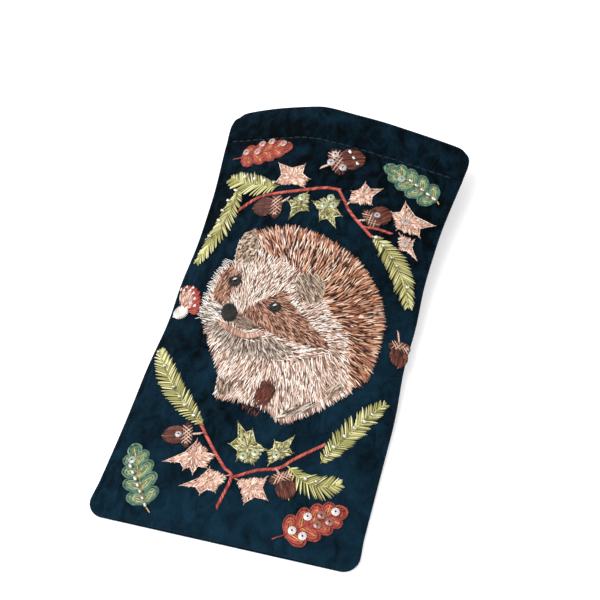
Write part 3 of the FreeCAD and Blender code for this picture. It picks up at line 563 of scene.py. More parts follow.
# ---------------------------------------------------------------- cloth
EDGE_STEPS = (0.0, 0.04, 0.16, 0.4, 0.8, 1.3, 2.2, 3.6)
TURN_STEPS = 10
FLAP_END = 0.2
MOUTH_BULGE, CORNER_REACH = 1.2, 14.0
SIDE_SWAY = 0.35
FRONT_COLUMNS, BACK_COLUMNS, LAYER_COLUMNS = 116, 70, 60
LINING_DEPTH, LINING_TOP, LINING_FOOT, LINING_THICK, LINING_INSET = 2.1, 0.5, 7.0, 0.3, 0.5
WADDING_DEPTH, WADDING_TOP, WADDING_FOOT, WADDING_THICK, WADDING_INSET = 0.85, 1.0, 4.0, 1.1, 2.5


def grid_mesh(name, points):
    """Mesh of quads over a grid of points in millimetres, rows by columns."""
    rows, columns = points.shape[:2]
    index = np.arange(rows * columns).reshape(rows, columns)
    faces = np.stack([index[:-1, :-1], index[:-1, 1:], index[1:, 1:], index[1:, :-1]], -1).reshape(-1, 4)
    mesh = bpy.data.meshes.new(name)
    mesh.from_pydata((points.reshape(-1, 3) * MM).tolist(), [], faces.tolist())
    mesh.polygons.foreach_set("use_smooth", [True] * len(faces))
    return mesh


def thicken(piece, thick):
    """Give a sheet its thickness on the side its normals point away from."""
    solid = piece.modifiers.new("Thickness", "SOLIDIFY")
    solid.thickness = thick
    solid.offset = -1
    solid.use_even_offset = False
    return bake_modifiers(piece)


def row_places(reach, inset, middle):
    """X of a row's columns for its two ends."""
    left, right = reach
    steps = np.array(EDGE_STEPS) + inset
    inner_left, inner_right = left + steps[-1] + 0.5, right - steps[-1] - 0.5
    centre = inner_left + (inner_right - inner_left) * np.linspace(0, 1, middle)
    return np.concatenate([left + steps, centre, (right - steps)[::-1]])


def plan_reach(bag, y, depth):
    """Ends of a row: the side edge, or for a layer under it where front and back layers meet."""
    half = float(bag.half_width(np.array(y)))
    foot = y - bag.foot_y
    if foot < bag.corner:
        half -= bag.corner - math.sqrt(max(bag.corner ** 2 - (bag.corner - foot) ** 2, 0.0))
    if depth <= bag.edge / 2:
        return -half, half
    ends = []
    for side in (-1, 1):
        inner, outer = float(bag.ridge(np.array(y))), side * half
        for _ in range(40):
            x = (inner + outer) / 2
            gap = float(bag.front(np.array(x), np.array(y)) - bag.back(np.array(x), np.array(y)))
            inner, outer = (x, outer) if gap > 2 * depth else (inner, x)
        ends.append(inner)
    return tuple(ends)


def plan_inset(bag, x, y):
    """Distance in plan from the panel's outline."""
    side = bag.half_width(y) - np.abs(x)
    foot = y - bag.foot_y
    inset = np.minimum(side, foot)
    corner = (side < bag.corner) & (foot < bag.corner)
    round_in = bag.corner - np.hypot(bag.corner - side, bag.corner - foot)
    return np.maximum(np.where(corner, round_in, inset), 0.0)


def mouth_shift(bag, x, y):
    """The mouth edge in plan: rounded corners and a slight swell over the bend."""
    out = np.clip(np.abs(x) - (bag.mouth - bag.corner), 0, bag.corner)
    cut = bag.corner - np.sqrt(bag.corner ** 2 - out ** 2)
    swell = MOUTH_BULGE * (1 - bag.across(x, y) ** 2)
    return (swell - cut) * ease(bag.mouth_y - CORNER_REACH, bag.mouth_y, y)


def panel_rows(bag, hem):
    """(place along the pouch, depth below the face) of each row of a velvet panel."""
    rows = [(bag.foot_y + step, 0.0) for step in (*EDGE_STEPS, 5.2)]
    rows += [(y, 0.0) for y in np.arange(bag.foot_y + 6.6, bag.hem_y - 2.2, 1.45)]
    rows += [(y, 0.0) for y in np.arange(bag.hem_y - 2.0, bag.hem_y + 2.1, 0.4)]
    turn = hem / 2
    rows += [(y, 0.0) for y in np.arange(bag.hem_y + 3.2, bag.mouth_y - turn - 0.4, 1.1)]
    for step in range(TURN_STEPS + 1):
        angle = math.pi * step / TURN_STEPS
        rows.append((bag.mouth_y - turn + turn * math.sin(angle), turn * (1 - math.cos(angle))))
    rows += [(y, hem) for y in np.arange(bag.mouth_y - turn - 1.0, bag.hem_y + FLAP_END, -1.3)]
    return rows


def panel_points(bag, side, rows, middle, inset):
    """Grid of one face of the pouch at each row's depth; side is 1 on the front and -1 on the back."""
    grid = []
    for y, depth in rows:
        x = row_places(plan_reach(bag, y, depth), inset, middle)
        level = np.full_like(x, y)
        sway = SIDE_SWAY * math.sin(y / 8.5 + 1.3 * math.sin(y / 21.0)) - SIDE_SWAY
        z = bag.front(x, level) - depth if side > 0 else bag.back(x, level) + depth
        if y > bag.hem_y:
            # The inner layer of the hem stands off the straight springs, which cut the corner of its curve.
            bulge = np.sin(np.pi * np.minimum(bag.across(x, level) / PIN_SHARE, 1.0))
            z -= side * SPRING_ROOM * bulge * float(ease(0.4, 1.0, depth / bag.hem_thick))
        half_edge = bag.edge / 2
        share = np.clip(plan_inset(bag, x, level) / half_edge, 0, 1)
        z -= side * max(half_edge - depth, 0) * (1 - np.sqrt(1 - (1 - share) ** 2))
        across = np.abs(x) / bag.half_width(level)
        moved = x + np.sign(x) * sway * across ** 6 * float(ease(4.0, 14.0, y - bag.foot_y))
        grid.append(np.stack([moved, level + mouth_shift(bag, x, level), z], 1))
    grid = np.array(grid)
    return grid if side > 0 else grid[:, ::-1]


def weigh(piece, front):
    """Attach a piece to the root body when the mouth's share at all its places is nearly nothing; otherwise only bake
    its transform into its mesh.
    """
    bag = the_bag()
    flat = np.empty(len(piece.data.vertices) * 3)
    piece.data.vertices.foreach_get("co", flat)
    spots = flat.reshape(-1, 3) / MM
    weight = bag.front_weight(spots[:, 0], spots[:, 1]) if front else bag.back_weight(spots[:, 0], spots[:, 1])
    if weight.max() < 0.004:
        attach(piece, "root")
        return
    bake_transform(piece)


def area_of(points):
    """Area in square metres of a grid of points in millimetres."""
    a, b = points[1:, 1:] - points[:-1, :-1], points[1:, :-1] - points[:-1, 1:]
    return float(np.linalg.norm(np.cross(a, b), axis=2).sum() / 2) * MM * MM


def cut_size(points):
    """Width and length in metres of the flat cut of a grid of points in millimetres."""
    across = np.linalg.norm(np.diff(points, axis=1), axis=2).sum(1).max()
    along = np.linalg.norm(np.diff(points, axis=0), axis=2).sum(0).max()
    return across * MM, along * MM


def sew_layer(side, kind, shape, rows, middle, inset, cloth, thick):
    """One layer of a side of the pouch, and the grid of points it was cut from."""
    name = kind + ("_front_" if side > 0 else "_back_") + shape
    points = panel_points(the_bag(), side, rows, middle, inset)
    piece = keep_mesh(name, grid_mesh(name, points))
    piece.data.materials.append(cloth())
    thicken(piece, thick)
    weigh(piece, side > 0)
    return piece, points


def declare_sheet(points):
    width, length = cut_size(points)
    min(area_of(points), width * length)


def even_rows(bag, start, end, depth):
    return [(y, depth) for y in np.arange(bag.foot_y + start, end, 2.0)] + [(end, depth)]


def sew_panel(side):
    """One velvet panel with its hem turned over the spring strip."""
    bag = the_bag()
    name = "front" if side > 0 else "back"
    piece, points = sew_layer(side, "velvet", "panel", panel_rows(bag, bag.hem_thick),
                              FRONT_COLUMNS if side > 0 else BACK_COLUMNS, 0.0, velvet,
                              bpy.context.scene.pouch_cloth.velvet_thick)
    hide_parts("velvet_" + name, *["%s_hem_%s" % (name, part) for part in ("left", "right", "middle")])
    declare_sheet(points)


def sew_lining(side):
    """One lining panel inside the wadding."""
    bag = the_bag()
    name = "front" if side > 0 else "back"
    rows = even_rows(bag, LINING_FOOT, bag.hem_y - LINING_TOP, LINING_DEPTH)
    piece, points = sew_layer(side, "lining", "panel", rows, LAYER_COLUMNS, LINING_INSET, satin, LINING_THICK * MM)
    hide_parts("lining_" + name)
    declare_sheet(points)


def lay_wadding(side):
    """Needled wadding between the velvet and the lining."""
    bag = the_bag()
    name = "front" if side > 0 else "back"
    rows = even_rows(bag, WADDING_FOOT, bag.hem_y - WADDING_TOP, WADDING_DEPTH)
    piece, _ = sew_layer(side, "wadding", "layer", rows, LAYER_COLUMNS, WADDING_INSET, wadding_felt,
                         WADDING_THICK * MM)
    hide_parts("wadding_" + name)


# ---------------------------------------------------------------- thread
class Threads:
    """Stitches gathered for one piece; places and sizes in millimetres, angles in degrees from +X."""

    def __init__(self, rng):
        self.rng = rng
        self.parts = []

    def add(self, x, y, turn, length, width, colour, height=None, lift=0.3, tilt=0.0):
        x = np.atleast_1d(np.asarray(x, float))
        count = len(x)
        columns = [np.broadcast_to(np.asarray(v, float), (count,)) for v in (
            y, turn, length, width, width if height is None else height, lift, tilt)]
        colour = np.broadcast_to(np.asarray(colour, float), (count, 4))
        self.parts.append(np.column_stack([x, *columns, colour]))

    def run(self, points, step, length, width, table, slant=0.0, height=None, lift=0.3):
        """Stitches at even steps along a path, turned by slant from its direction."""
        x, y, turn, _ = path_points(points, step)
        self.add(x, y, turn + slant, length, width, pick(self.rng, table, len(x)), height, lift)

    def lay(self, name, nodes, taper=0.6, arch=0.5):
        """Make the stitches into one piece on the front of the pouch."""
        thread = bpy.context.scene.pouch_thread
        data = np.concatenate(self.parts)
        places, normal = the_bag().place(data[:, 0], data[:, 1], data[:, 6])
        tilt = np.radians(data[:, 7])[:, None]
        flat = surface_line(data[:, 2], normal)
        along = flat * np.cos(tilt) + normal * np.sin(tilt)
        up = normal * np.cos(tilt) - flat * np.sin(tilt)
        piece = run_tree(name, stitch_tree(), places, along, up, data[:, 3:6], data[:, 8:12],
                         {"Sides": thread.sides, "Rings": thread.rings, "Taper": taper, "Arch": arch}, floss())
        finish_trim(piece, nodes)


def surface_line(turn, normal):
    """Unit lines in the surface, turned by degrees from +X."""
    angle = np.radians(turn)
    level = np.stack([np.cos(angle), np.sin(angle), np.zeros_like(angle)], 1)
    flat = level - normal * (level * normal).sum(1)[:, None]
    return flat / np.linalg.norm(flat, axis=1)[:, None]


def heading(turn):
    """Unit directions ahead and to the left for a turn in degrees."""
    ahead = np.array([np.cos(np.radians(turn)), np.sin(np.radians(turn))])
    return ahead, np.array([-ahead[1], ahead[0]])


def finish_trim(piece, nodes, front=True):
    """Attach a piece of thread or trim to the root body when the mouth barely moves it, and hide the nodes it stands
    for.
    """
    weigh(piece, front)
    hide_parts(*nodes)


def dyes(*codes):
    """Linear colours of a row of threads."""
    return np.array([linear(code) for code in codes])


def pick(rng, colours, count, weights=None, spread=0.08):
    """A random thread for each stitch, each a little lighter or darker."""
    share = None if weights is None else np.array(weights, float) / sum(weights)
    chosen = colours[rng.choice(len(colours), count, p=share)].copy()
    chosen[:, :3] *= rng.normal(1, spread, (count, 1)).clip(0.6, 1.4)
    return chosen


def unit(a, b):
    """Length and direction in degrees from a to b."""
    return math.hypot(b[0] - a[0], b[1] - a[1]), math.degrees(math.atan2(b[1] - a[1], b[0] - a[0]))


LOOP_STEPS, PATH_STEPS = 8, 24
# How far a stitch's place may stray, as a share of the step.
SHAKE = 0.45


def curve(a, b, c, d, t):
    """Smooth curve from b to c with neighbours a and d."""
    return 0.5 * ((2 * b) + (c - a) * t + (2 * a - 5 * b + 4 * c - d) * t * t + (3 * b - a - 3 * c + d) * t ** 3)


def smooth_loop(points):
    """Closed curve through the points."""
    p = np.array(points, float)
    out = []
    for i in range(len(p)):
        a, b, c, d = p[i - 1], p[i], p[(i + 1) % len(p)], p[(i + 2) % len(p)]
        out += [curve(a, b, c, d, t) for t in np.arange(LOOP_STEPS) / LOOP_STEPS]
    return np.array(out)


def path_points(points, step):
    """Even points and their directions on a smooth open path."""
    p = np.array(points, float)
    p = np.vstack([2 * p[0] - p[1], p, 2 * p[-1] - p[-2]])
    line = []
    for i in range(1, len(p) - 2):
        a, b, c, d = p[i - 1:i + 3]
        line += [curve(a, b, c, d, t) for t in np.linspace(0, 1, PATH_STEPS, endpoint=i == len(p) - 3)]
    line = np.array(line)
    far = np.concatenate([[0], np.cumsum(np.linalg.norm(np.diff(line, axis=0), axis=1))])
    at = np.linspace(0, far[-1], max(int(far[-1] / step), 2) + 1)
    x, y = np.interp(at, far, line[:, 0]), np.interp(at, far, line[:, 1])
    turn = np.degrees(np.arctan2(np.gradient(y), np.gradient(x)))
    return x, y, turn, at / far[-1]


def inside(loop, x, y):
    """Which places lie inside a closed outline."""
    hit = np.zeros(len(x), bool)
    for (x0, y0), (x1, y1) in zip(loop, np.roll(loop, -1, axis=0)):
        crosses = (y0 > y) != (y1 > y)
        with np.errstate(divide="ignore", invalid="ignore"):
            hit ^= crosses & (x < (x1 - x0) * (y - y0) / (y1 - y0) + x0)
    return hit


def scatter(rng, loop, step):
    """Places spread evenly with some unevenness inside an outline."""
    low, high = loop.min(0), loop.max(0)
    x, y = np.meshgrid(np.arange(low[0], high[0], step), np.arange(low[1], high[1], step))
    x, y = x.ravel(), y.ravel()
    x = x + rng.uniform(-SHAKE, SHAKE, len(x)) * step
    y = y + rng.uniform(-SHAKE, SHAKE, len(y)) * step
    keep = inside(loop, x, y)
    return x[keep], y[keep]


def away(x, y, centre):
    """Direction in degrees away from a centre."""
    return np.degrees(np.arctan2(y - centre[1], x - centre[0]))


def clump(x, y, size, seed):
    """Slow noise between 0 and 1, for patches of one thread."""
    u, v = x / size, y / size
    return 0.5 + 0.25 * (np.sin(u + 2.1 * np.sin(v * 0.7 + seed)) + np.sin(v * 1.3 + 1.7 * np.sin(u + seed)))


# ---------------------------------------------------------------- hedgehog
OUTLINE = [
    (-26, 24), (-22, 29.5), (-10, 33.6), (-1, 33.6), (12, 30), (23, 24), (31.5, 15), (36, 5), (37, -7),
    (35.8, -20), (30, -25.5), (22, -34), (10.5, -42), (3, -39), (-6, -37.6), (-16, -37.4), (-18.6, -28),
    (-26, -16), (-30.6, -8), (-31.2, 2), (-29.4, 12.4), (-25.4, 16)]
SPINE_EDGE = [
    (-24, 40), (-19, 25), (-12, 20), (-4, 18), (1, 15.4), (12, 8), (18, 1), (24, -4), (27, -12), (30, -22),
    (34, -34), (70, -34), (70, 60), (-24, 60)]
BELLY = [(-45, -11), (-27, -12.6), (-14, -19), (0, -20.4), (12, -17.6), (22, -12), (28, -14), (45, -25),
         (45, -60), (-45, -60)]
MASK_LEFT = [(-28.6, 10), (-25.6, 14), (-20.6, 9.6), (-22.6, 2.4), (-24, -2.6), (-29, 0.6)]
MASK_RIGHT = [(-16, -4.4), (-8, 3.2), (-3, 7), (1.4, 2.4), (9, -3), (18.4, -11), (4, -11.6), (-8, -9)]
MUZZLE = [(-18.4, -4.8), (-10.4, -7), (-9.4, -9.4), (-14, -10.4), (-19, -8.6)]
MOUTH = [(-23.4, -8.8), (-17, -11.2), (-10, -12), (-5.4, -9.6), (-6.4, -12.4), (-11, -14.2), (-18, -13)]
EYES = [((-22.6, 8), 2.3, 2.0), ((-4.6, 0.2), 2.1, 1.8)]
NOSE = ((-21, -5), 3.0, 2.7)
EAR_LEFT = [(-24.6, 28), (-20.4, 28.6), (-17.6, 22), (-19.4, 16.6), (-24.4, 15.6), (-25.6, 21)]
EAR_RIGHT = [(0.6, 12), (3.4, 15.2), (9, 15), (11.6, 10), (10.4, 5), (4, 4.4)]
FEET = [
    [(-17, -31), (-12.4, -31.6), (-11.4, -35.6), (-16, -36.6)],
    [(-2.6, -36.8), (-1, -29), (2.2, -28.4), (4.4, -31.6), (2.6, -38)],
    [(8, -40.6), (10.4, -41), (20, -35), (19, -33), (11, -37)],
    [(21.6, -26), (25, -23.8), (27.6, -26.4), (24.4, -29.6)]]
CHIN = [(-29, -9.5), (-23.6, -9.6), (-17, -13.4), (-9, -14.6), (-6, -13), (0, -12.4), (6, -15.5), (-2, -21),
        (-15, -20.5), (-26, -14)]
TUFT = [(-30.5, -1), (-25, -2.4), (-24.2, -7), (-31, -8.6)]
WHISKERS = [(-27.5, 16.5), (-30.2, 12), (-31.2, 7), (-31.8, 2), (-32.2, -3), (-32.0, -8)]
LIP_LINE = [(-23.6, -9.6), (-17.5, -12), (-11.5, -13), (-6, -11)]
# Painted shadow: dark stitches where shade falls under the feet.
SHADOW_UNDER_FEET = [(-16, -38.2), (-5.5, -39.6), (-3.4, -40.8), (-1.2, -41.4)]

# Centres that the stitches of each patch run away from.
SPINE_HEART, FACE_HEART, BELLY_HEART = (2.0, -4.0), (-16, -14), (-3, 12)
CHIN_HEART, MASK_HEART, SNOUT = (-14, -2), (-16, 4), (-20, 1.5)
SPINE_INSET, FRINGE_INSET = 0.965, 2.4
# How often each thread of a table is used.
SPINE_MIX_LEFT = (0.9, 1.8, 2.8, 3.6, 4.0, 1.4, 0.7)
SPINE_MIX_RIGHT = (0.8, 1.8, 2.8, 3.8, 4.6, 1.9, 0.9)
FACE_MIX_WARM = (1.0, 2.2, 3.0, 3.2, 2.8, 2.0)
FACE_MIX_BRIGHT = (0.2, 0.7, 1.6, 3.0, 4.6, 4.4)
# Painted shade: darker ground threads under the fur, standing for the shade between the raised stitches.
SPINE_PAINTED_SHADE = dyes("#1c0803", "#2e1007", "#4a2012")
FACE_PAINTED_SHADE = dyes("#43251b", "#6b4536", "#8f6b59")
BELLY_PAINTED_SHADE = dyes("#7a5444", "#a5806e", "#c4a290")
PUPIL_DYES = dyes("#1d1712", "#2c2018")
SPINES_LEFT = dyes("#3b150a", "#6f412f", "#a06f58", "#cf9f88", "#efc6ae", "#fff0e2", "#b8682f")
SPINES_RIGHT = dyes("#34120a", "#663019", "#965b40", "#bb8566", "#dcae90", "#f8dfc8", "#a2561f")
FACE = dyes("#4f2f25", "#835c4b", "#b48c77", "#dab8a4", "#f5e1d2", "#fffcf6")
BELLY_DYES = dyes("#93705f", "#c9a694", "#ead0bf", "#f8e5d6", "#fffaf3")
MASK_DYES = dyes("#44241b", "#70432f", "#98664e", "#bb8a70", "#d9ab92")
EAR_DYES = dyes("#47332a", "#6f594a", "#97806c", "#b8a08a", "#d6c1ab")
CHIN_DYES = dyes("#4f3e35", "#786559", "#9c8879", "#bda999", "#e6d8ca")
MOUTH_DYES = dyes("#a37a67", "#c49985", "#dbb29d", "#ecc6b2")
MUZZLE_DYES = dyes("#5f4638", "#78604f", "#8e7767", "#a89482")
BLACK_DYES = dyes("#060606", "#101010", "#1c1b1b")
WHITE_DYES = dyes("#ffffff", "#f4efe8", "#e2dbd2")
RUST_DYES = dyes("#3a150c", "#5b2415", "#7a3822")


class Stitch(NamedTuple):
    """A way of filling an outline: distance between stitches, shortest and longest, thinnest and thickest, height
    over the velvet, tilt out of it and unevenness of direction, in millimetres and degrees."""
    step: float
    length: tuple
    width: tuple
    lift: float
    tilt: float
    sway: float


SPINE_GROUND = Stitch(0.95, (2.4, 3.2), (0.44, 0.58), 0.05, 1.0, 10)
SPINE_FUR = Stitch(1.16, (2.3, 3.1), (0.42, 0.54), 0.6, 9.0, 8)
FACE_GROUND = Stitch(0.9, (1.8, 2.6), (0.34, 0.44), 0.08, 1.0, 8)
FACE_FUR = Stitch(0.7, (1.5, 2.4), (0.27, 0.36), 0.42, 7.0, 10)
TUFT_FUR = Stitch(0.6, (2.0, 3.0), (0.28, 0.36), 0.5, 3.0, 12)
CHIN_FUR = Stitch(0.6, (1.8, 2.8), (0.28, 0.38), 0.5, 5.0, 10)
BELLY_GROUND = Stitch(0.9, (1.8, 2.8), (0.38, 0.48), 0.08, 1.0, 8)
BELLY_FUR = Stitch(0.84, (2.0, 3.0), (0.36, 0.46), 0.42, 7.0, 10)
MASK_FUR = Stitch(0.6, (1.6, 2.6), (0.28, 0.38), 0.42, 4.0, 8)
EAR_GROUND = Stitch(0.7, (1.4, 2.0), (0.5, 0.6), 0.15, 0.0, 10)
EAR_KNOTS = Stitch(1.12, (1.0, 1.5), (0.7, 0.9), 0.6, 0.0, 24)
EAR_FUR = Stitch(0.62, (1.8, 3.0), (0.3, 0.42), 0.42, 3.0, 10)
MUZZLE_FUR = Stitch(0.55, (1.4, 2.2), (0.3, 0.4), 0.5, 0.0, 8)
FOOT_FUR = Stitch(0.7, (2.4, 4.2), (0.34, 0.44), 0.5, 3.0, 10)
OAK_GROUND = Stitch(0.55, (1.5, 2.2), (0.42, 0.52), 0.12, 0.0, 6)
MAPLE_SATIN = Stitch(0.5, (1.3, 1.9), (0.38, 0.48), 0.3, 2.0, 4)
CAP_SATIN = Stitch(0.5, (1.6, 2.6), (0.42, 0.52), 0.5, 0.0, 6)
GILL_SATIN = Stitch(0.55, (1.5, 2.2), (0.36, 0.44), 0.6, 0.0, 7)


def held_off(x, y, *shapes):
    """Which places lie outside all the shapes."""
    keep = np.ones(len(x), bool)
    for shape in shapes:
        keep &= ~inside(shape, x, y)
    return keep


def oval(centre, a, b, grow=0.0):
    turn = np.linspace(0, 2 * math.pi, 24, endpoint=False)
    return np.stack([centre[0] + (a + grow) * np.cos(turn), centre[1] + (b + grow) * np.sin(turn)], 1)


def closed(loop, every):
    """An outline thinned to every so many points and closed."""
    return np.vstack([loop[::every], loop[:1]])


def radiate(x, y, centre, sway, phase):
    """Directions away from a centre, swayed by a wave."""
    return away(x, y, centre) + sway * np.sin(phase)


def fill(threads, loop, stitch, turn, colour, keep=None):
    """Fill an outline with stitches; turn and colour are functions of place, or plain values."""
    rng = threads.rng
    x, y = scatter(rng, loop, stitch.step)
    if keep is not None:
        chosen = keep(x, y)
        x, y = x[chosen], y[chosen]
    angle = (turn(x, y) if callable(turn) else turn) + rng.normal(0, stitch.sway, len(x))
    tone = colour(x, y) if callable(colour) else pick(rng, colour, len(x))
    threads.add(x, y, angle, rng.uniform(*stitch.length, len(x)), rng.uniform(*stitch.width, len(x)), tone,
                lift=stitch.lift + rng.uniform(0, 0.25, len(x)), tilt=stitch.tilt)


def embroider_spines(rng):
    """Spines in two colourways that meet on the back, over a darker ground painted to stand for the shade between the
    spines.
    """
    heart, edge = np.array(SPINE_HEART), np.array(SPINE_EDGE, float)
    whole = heart + SPINE_INSET * (smooth_loop(OUTLINE) - heart)
    ears = smooth_loop(EAR_LEFT), smooth_loop(EAR_RIGHT)
    threads = Threads(rng)

    def direction(x, y):
        return radiate(x, y, SPINE_HEART, 10, x / 4.1 + y / 5.3)

    def tone(x, y):
        left = pick(rng, SPINES_LEFT, len(x), SPINE_MIX_LEFT, 0.1)
        right = pick(rng, SPINES_RIGHT, len(x), SPINE_MIX_RIGHT, 0.1)
        share = ease(-14, 14, x - 0.4 * y)[:, None]
        return np.where(rng.random((len(x), 1)) < share, right, left)

    def keep(x, y):
        return inside(edge, x, y) & held_off(x, y, *ears)

    # Painted shade: a dark ground layer that shows between the spine stitches.
    fill(threads, whole, SPINE_GROUND, direction, SPINE_PAINTED_SHADE, keep)
    fill(threads, whole, SPINE_FUR, direction, tone, keep)
    # The outer fringe: longer spines that stand past the outline.
    x, y, _, _ = path_points(OUTLINE[1:10], 0.55)
    out = np.radians(away(x, y, SPINE_HEART))
    x, y = x - FRINGE_INSET * np.cos(out), y - FRINGE_INSET * np.sin(out)
    threads.add(x, y, direction(x, y) + rng.normal(0, 12, len(x)), rng.uniform(2.8, 4.0, len(x)), 0.46,
                tone(x, y), lift=0.5, tilt=3.0)
    threads.lay("hedgehog_spine_stitches", ["hedgehog_spines"], 0.5)


def embroider_face(rng):
    """Short fur round the mask, ears and eyes, with whiskers and a grey chin."""
    whole, edge, belly = smooth_loop(OUTLINE), np.array(SPINE_EDGE, float), np.array(BELLY, float)
    shapes = [smooth_loop(s) for s in (MASK_LEFT, MASK_RIGHT, MUZZLE, MOUTH, EAR_LEFT, EAR_RIGHT)]
    shapes += [oval(c, a, b, -0.2) for c, a, b in EYES] + [oval(*NOSE, -0.3)]
    chin, tuft = smooth_loop(CHIN), smooth_loop(TUFT)
    threads = Threads(rng)

    def direction(x, y):
        return radiate(x, y, FACE_HEART, 8, x / 5.0)

    def tone(x, y):
        snout = np.exp(-((x - SNOUT[0]) ** 2 + (y - SNOUT[1]) ** 2) / 22)
        light = 0.12 + clump(x, y, 3.1, 0.4) + 0.2 * ease(-6, 12, y) + snout
        warm = pick(rng, FACE, len(x), FACE_MIX_WARM, 0.08)
        bright = pick(rng, FACE, len(x), FACE_MIX_BRIGHT, 0.06)
        return np.where((rng.random(len(x)) < light)[:, None], bright, warm)

    def keep(x, y):
        return held_off(x, y, edge, belly, *shapes)

    # Painted shade: a darker ground layer that shows between the face fur stitches.
    fill(threads, whole, FACE_GROUND, direction, FACE_PAINTED_SHADE, keep)
    fill(threads, whole, FACE_FUR, direction, tone, lambda x, y: keep(x, y) & held_off(x, y, chin, tuft))
    # Whiskers and the pale tuft beside the nose.
    x, y, _, _ = path_points(WHISKERS, 0.62)
    threads.add(x, y, 160 + rng.normal(0, 16, len(x)), rng.uniform(1.8, 3.6, len(x)), 0.3,
                pick(rng, WHITE_DYES, len(x)), lift=0.5, tilt=2.0)
    fill(threads, tuft, TUFT_FUR, 168.0, np.concatenate([WHITE_DYES, CHIN_DYES]))
    # Grey chin below the mouth.
    fill(threads, chin, CHIN_FUR, lambda x, y: radiate(x, y, CHIN_HEART, 6, x), CHIN_DYES)
    threads.lay("hedgehog_face_stitches", ["hedgehog_face"], 0.55)


def embroider_belly(rng):
    """Pale fur that runs down to the feet, with a fringe under it."""
    whole, belly, edge = smooth_loop(OUTLINE), np.array(BELLY, float), np.array(SPINE_EDGE, float)
    feet = [smooth_loop(foot) for foot in FEET]
    threads = Threads(rng)

    def direction(x, y):
        return radiate(x, y, BELLY_HEART, 9, x / 4.0 + 1)

    def keep(x, y):
        return inside(belly, x, y) & held_off(x, y, edge, *feet)

    # Painted shade: a darker ground layer that shows between the belly fur stitches.
    fill(threads, whole, BELLY_GROUND, direction, BELLY_PAINTED_SHADE, keep)
    fill(threads, whole, BELLY_FUR, direction, BELLY_DYES, keep)
    x, y, _, _ = path_points(OUTLINE[10:16], 0.6)
    threads.add(x, y + 1.0, direction(x, y) + rng.normal(0, 10, len(x)), rng.uniform(2.4, 3.4, len(x)), 0.42,
                pick(rng, BELLY_DYES, len(x)), lift=0.45)
    threads.lay("hedgehog_belly_stitches", ["hedgehog_belly"], 0.5)


def embroider_features(rng):
    """Mask, ears, eyes, nose, mouth, muzzle and feet."""
    eyes = [oval(c, a, b, 0.2) for c, a, b in EYES]
    mask = Threads(rng)
    for loop, field in ((MASK_LEFT, 70.0), (MASK_RIGHT, lambda x, y: away(x, y, MASK_HEART))):
        fill(mask, smooth_loop(loop), MASK_FUR, field, MASK_DYES, lambda x, y: held_off(x, y, *eyes))
    mask.lay("hedgehog_mask_stitches", ["hedgehog_mask"])

    ears = Threads(rng)
    left, right = smooth_loop(EAR_LEFT), smooth_loop(EAR_RIGHT)
    fill(ears, left, EAR_GROUND, 60.0, EAR_DYES[:2])
    fill(ears, left, EAR_KNOTS, 50.0, EAR_DYES[2:])
    fill(ears, right, EAR_FUR, -48.0, EAR_DYES)
    for loop in (left, right):
        ears.run(closed(loop, 4), 0.7, 1.3, 0.45, EAR_DYES[1:], lift=0.6)
    ears.lay("hedgehog_ear_stitches", ["hedgehog_ears"], 0.4)

    dots = Threads(rng)
    for centre, a, b in EYES:
        for grow, tone in ((0.0, BLACK_DYES), (-0.7, BLACK_DYES), (-1.3, PUPIL_DYES)):
            dots.run(closed(oval(centre, a, b, grow), 3), 0.4, 1.1, 0.62, tone, lift=0.75)
        # The glint.
        dots.add([centre[0] - 0.4, centre[0] - 0.1], [centre[1] + 0.5, centre[1] + 0.9], 20, 1.0, 0.5,
                 pick(rng, WHITE_DYES, 2), lift=1.15)
    dots.lay("hedgehog_eye_stitches", ["hedgehog_eyes"], 0.4)

    nose = Threads(rng)
    at, across, along = NOSE
    lean, _ = heading(30)
    for k in np.arange(-2.8, 2.9, 0.34):
        wide = math.sqrt(1 - (k / across) ** 2)
        nose.add(at[0] + k * lean[0], at[1] + k * lean[1], 120.0, 2 * along * wide, 0.55,
                 pick(rng, BLACK_DYES, 1), height=1.2, lift=0.7 + 0.7 * wide)
    nose.lay("hedgehog_nose_stitches", ["hedgehog_nose"], 0.3, 0.6)

    mouth = Threads(rng)
    x, y, turn, share = path_points(LIP_LINE, 0.36)
    mouth.add(x, y, turn - 75, 1.3 + 0.8 * np.sin(math.pi * share), 0.42, pick(rng, MOUTH_DYES, len(x)),
              height=0.7, lift=1.05)
    mouth.lay("hedgehog_mouth_stitches", ["hedgehog_mouth"])

    muzzle = Threads(rng)
    fill(muzzle, smooth_loop(MUZZLE), MUZZLE_FUR, -14.0, MUZZLE_DYES)
    muzzle.lay("hedgehog_muzzle_stitches", ["hedgehog_muzzle"])

    feet = Threads(rng)
    for loop, lean, table in zip(FEET, (100.0, 70.0, 40.0, 60.0), (EAR_DYES, RUST_DYES, CHIN_DYES, EAR_DYES[1:])):
        fill(feet, smooth_loop(loop), FOOT_FUR, lean, table)
    # Painted shadow under the feet, in black and rust stitches.
    for x0, y0 in SHADOW_UNDER_FEET:
        x = x0 + np.arange(4) * 0.6
        feet.add(x, y0 + rng.normal(0, 0.3, 4), 78 + rng.normal(0, 12, 4), 2.0, 0.42,
                 pick(rng, np.concatenate([BLACK_DYES, RUST_DYES]), 4), lift=0.35)
    feet.lay("hedgehog_foot_stitches", ["hedgehog_feet"])


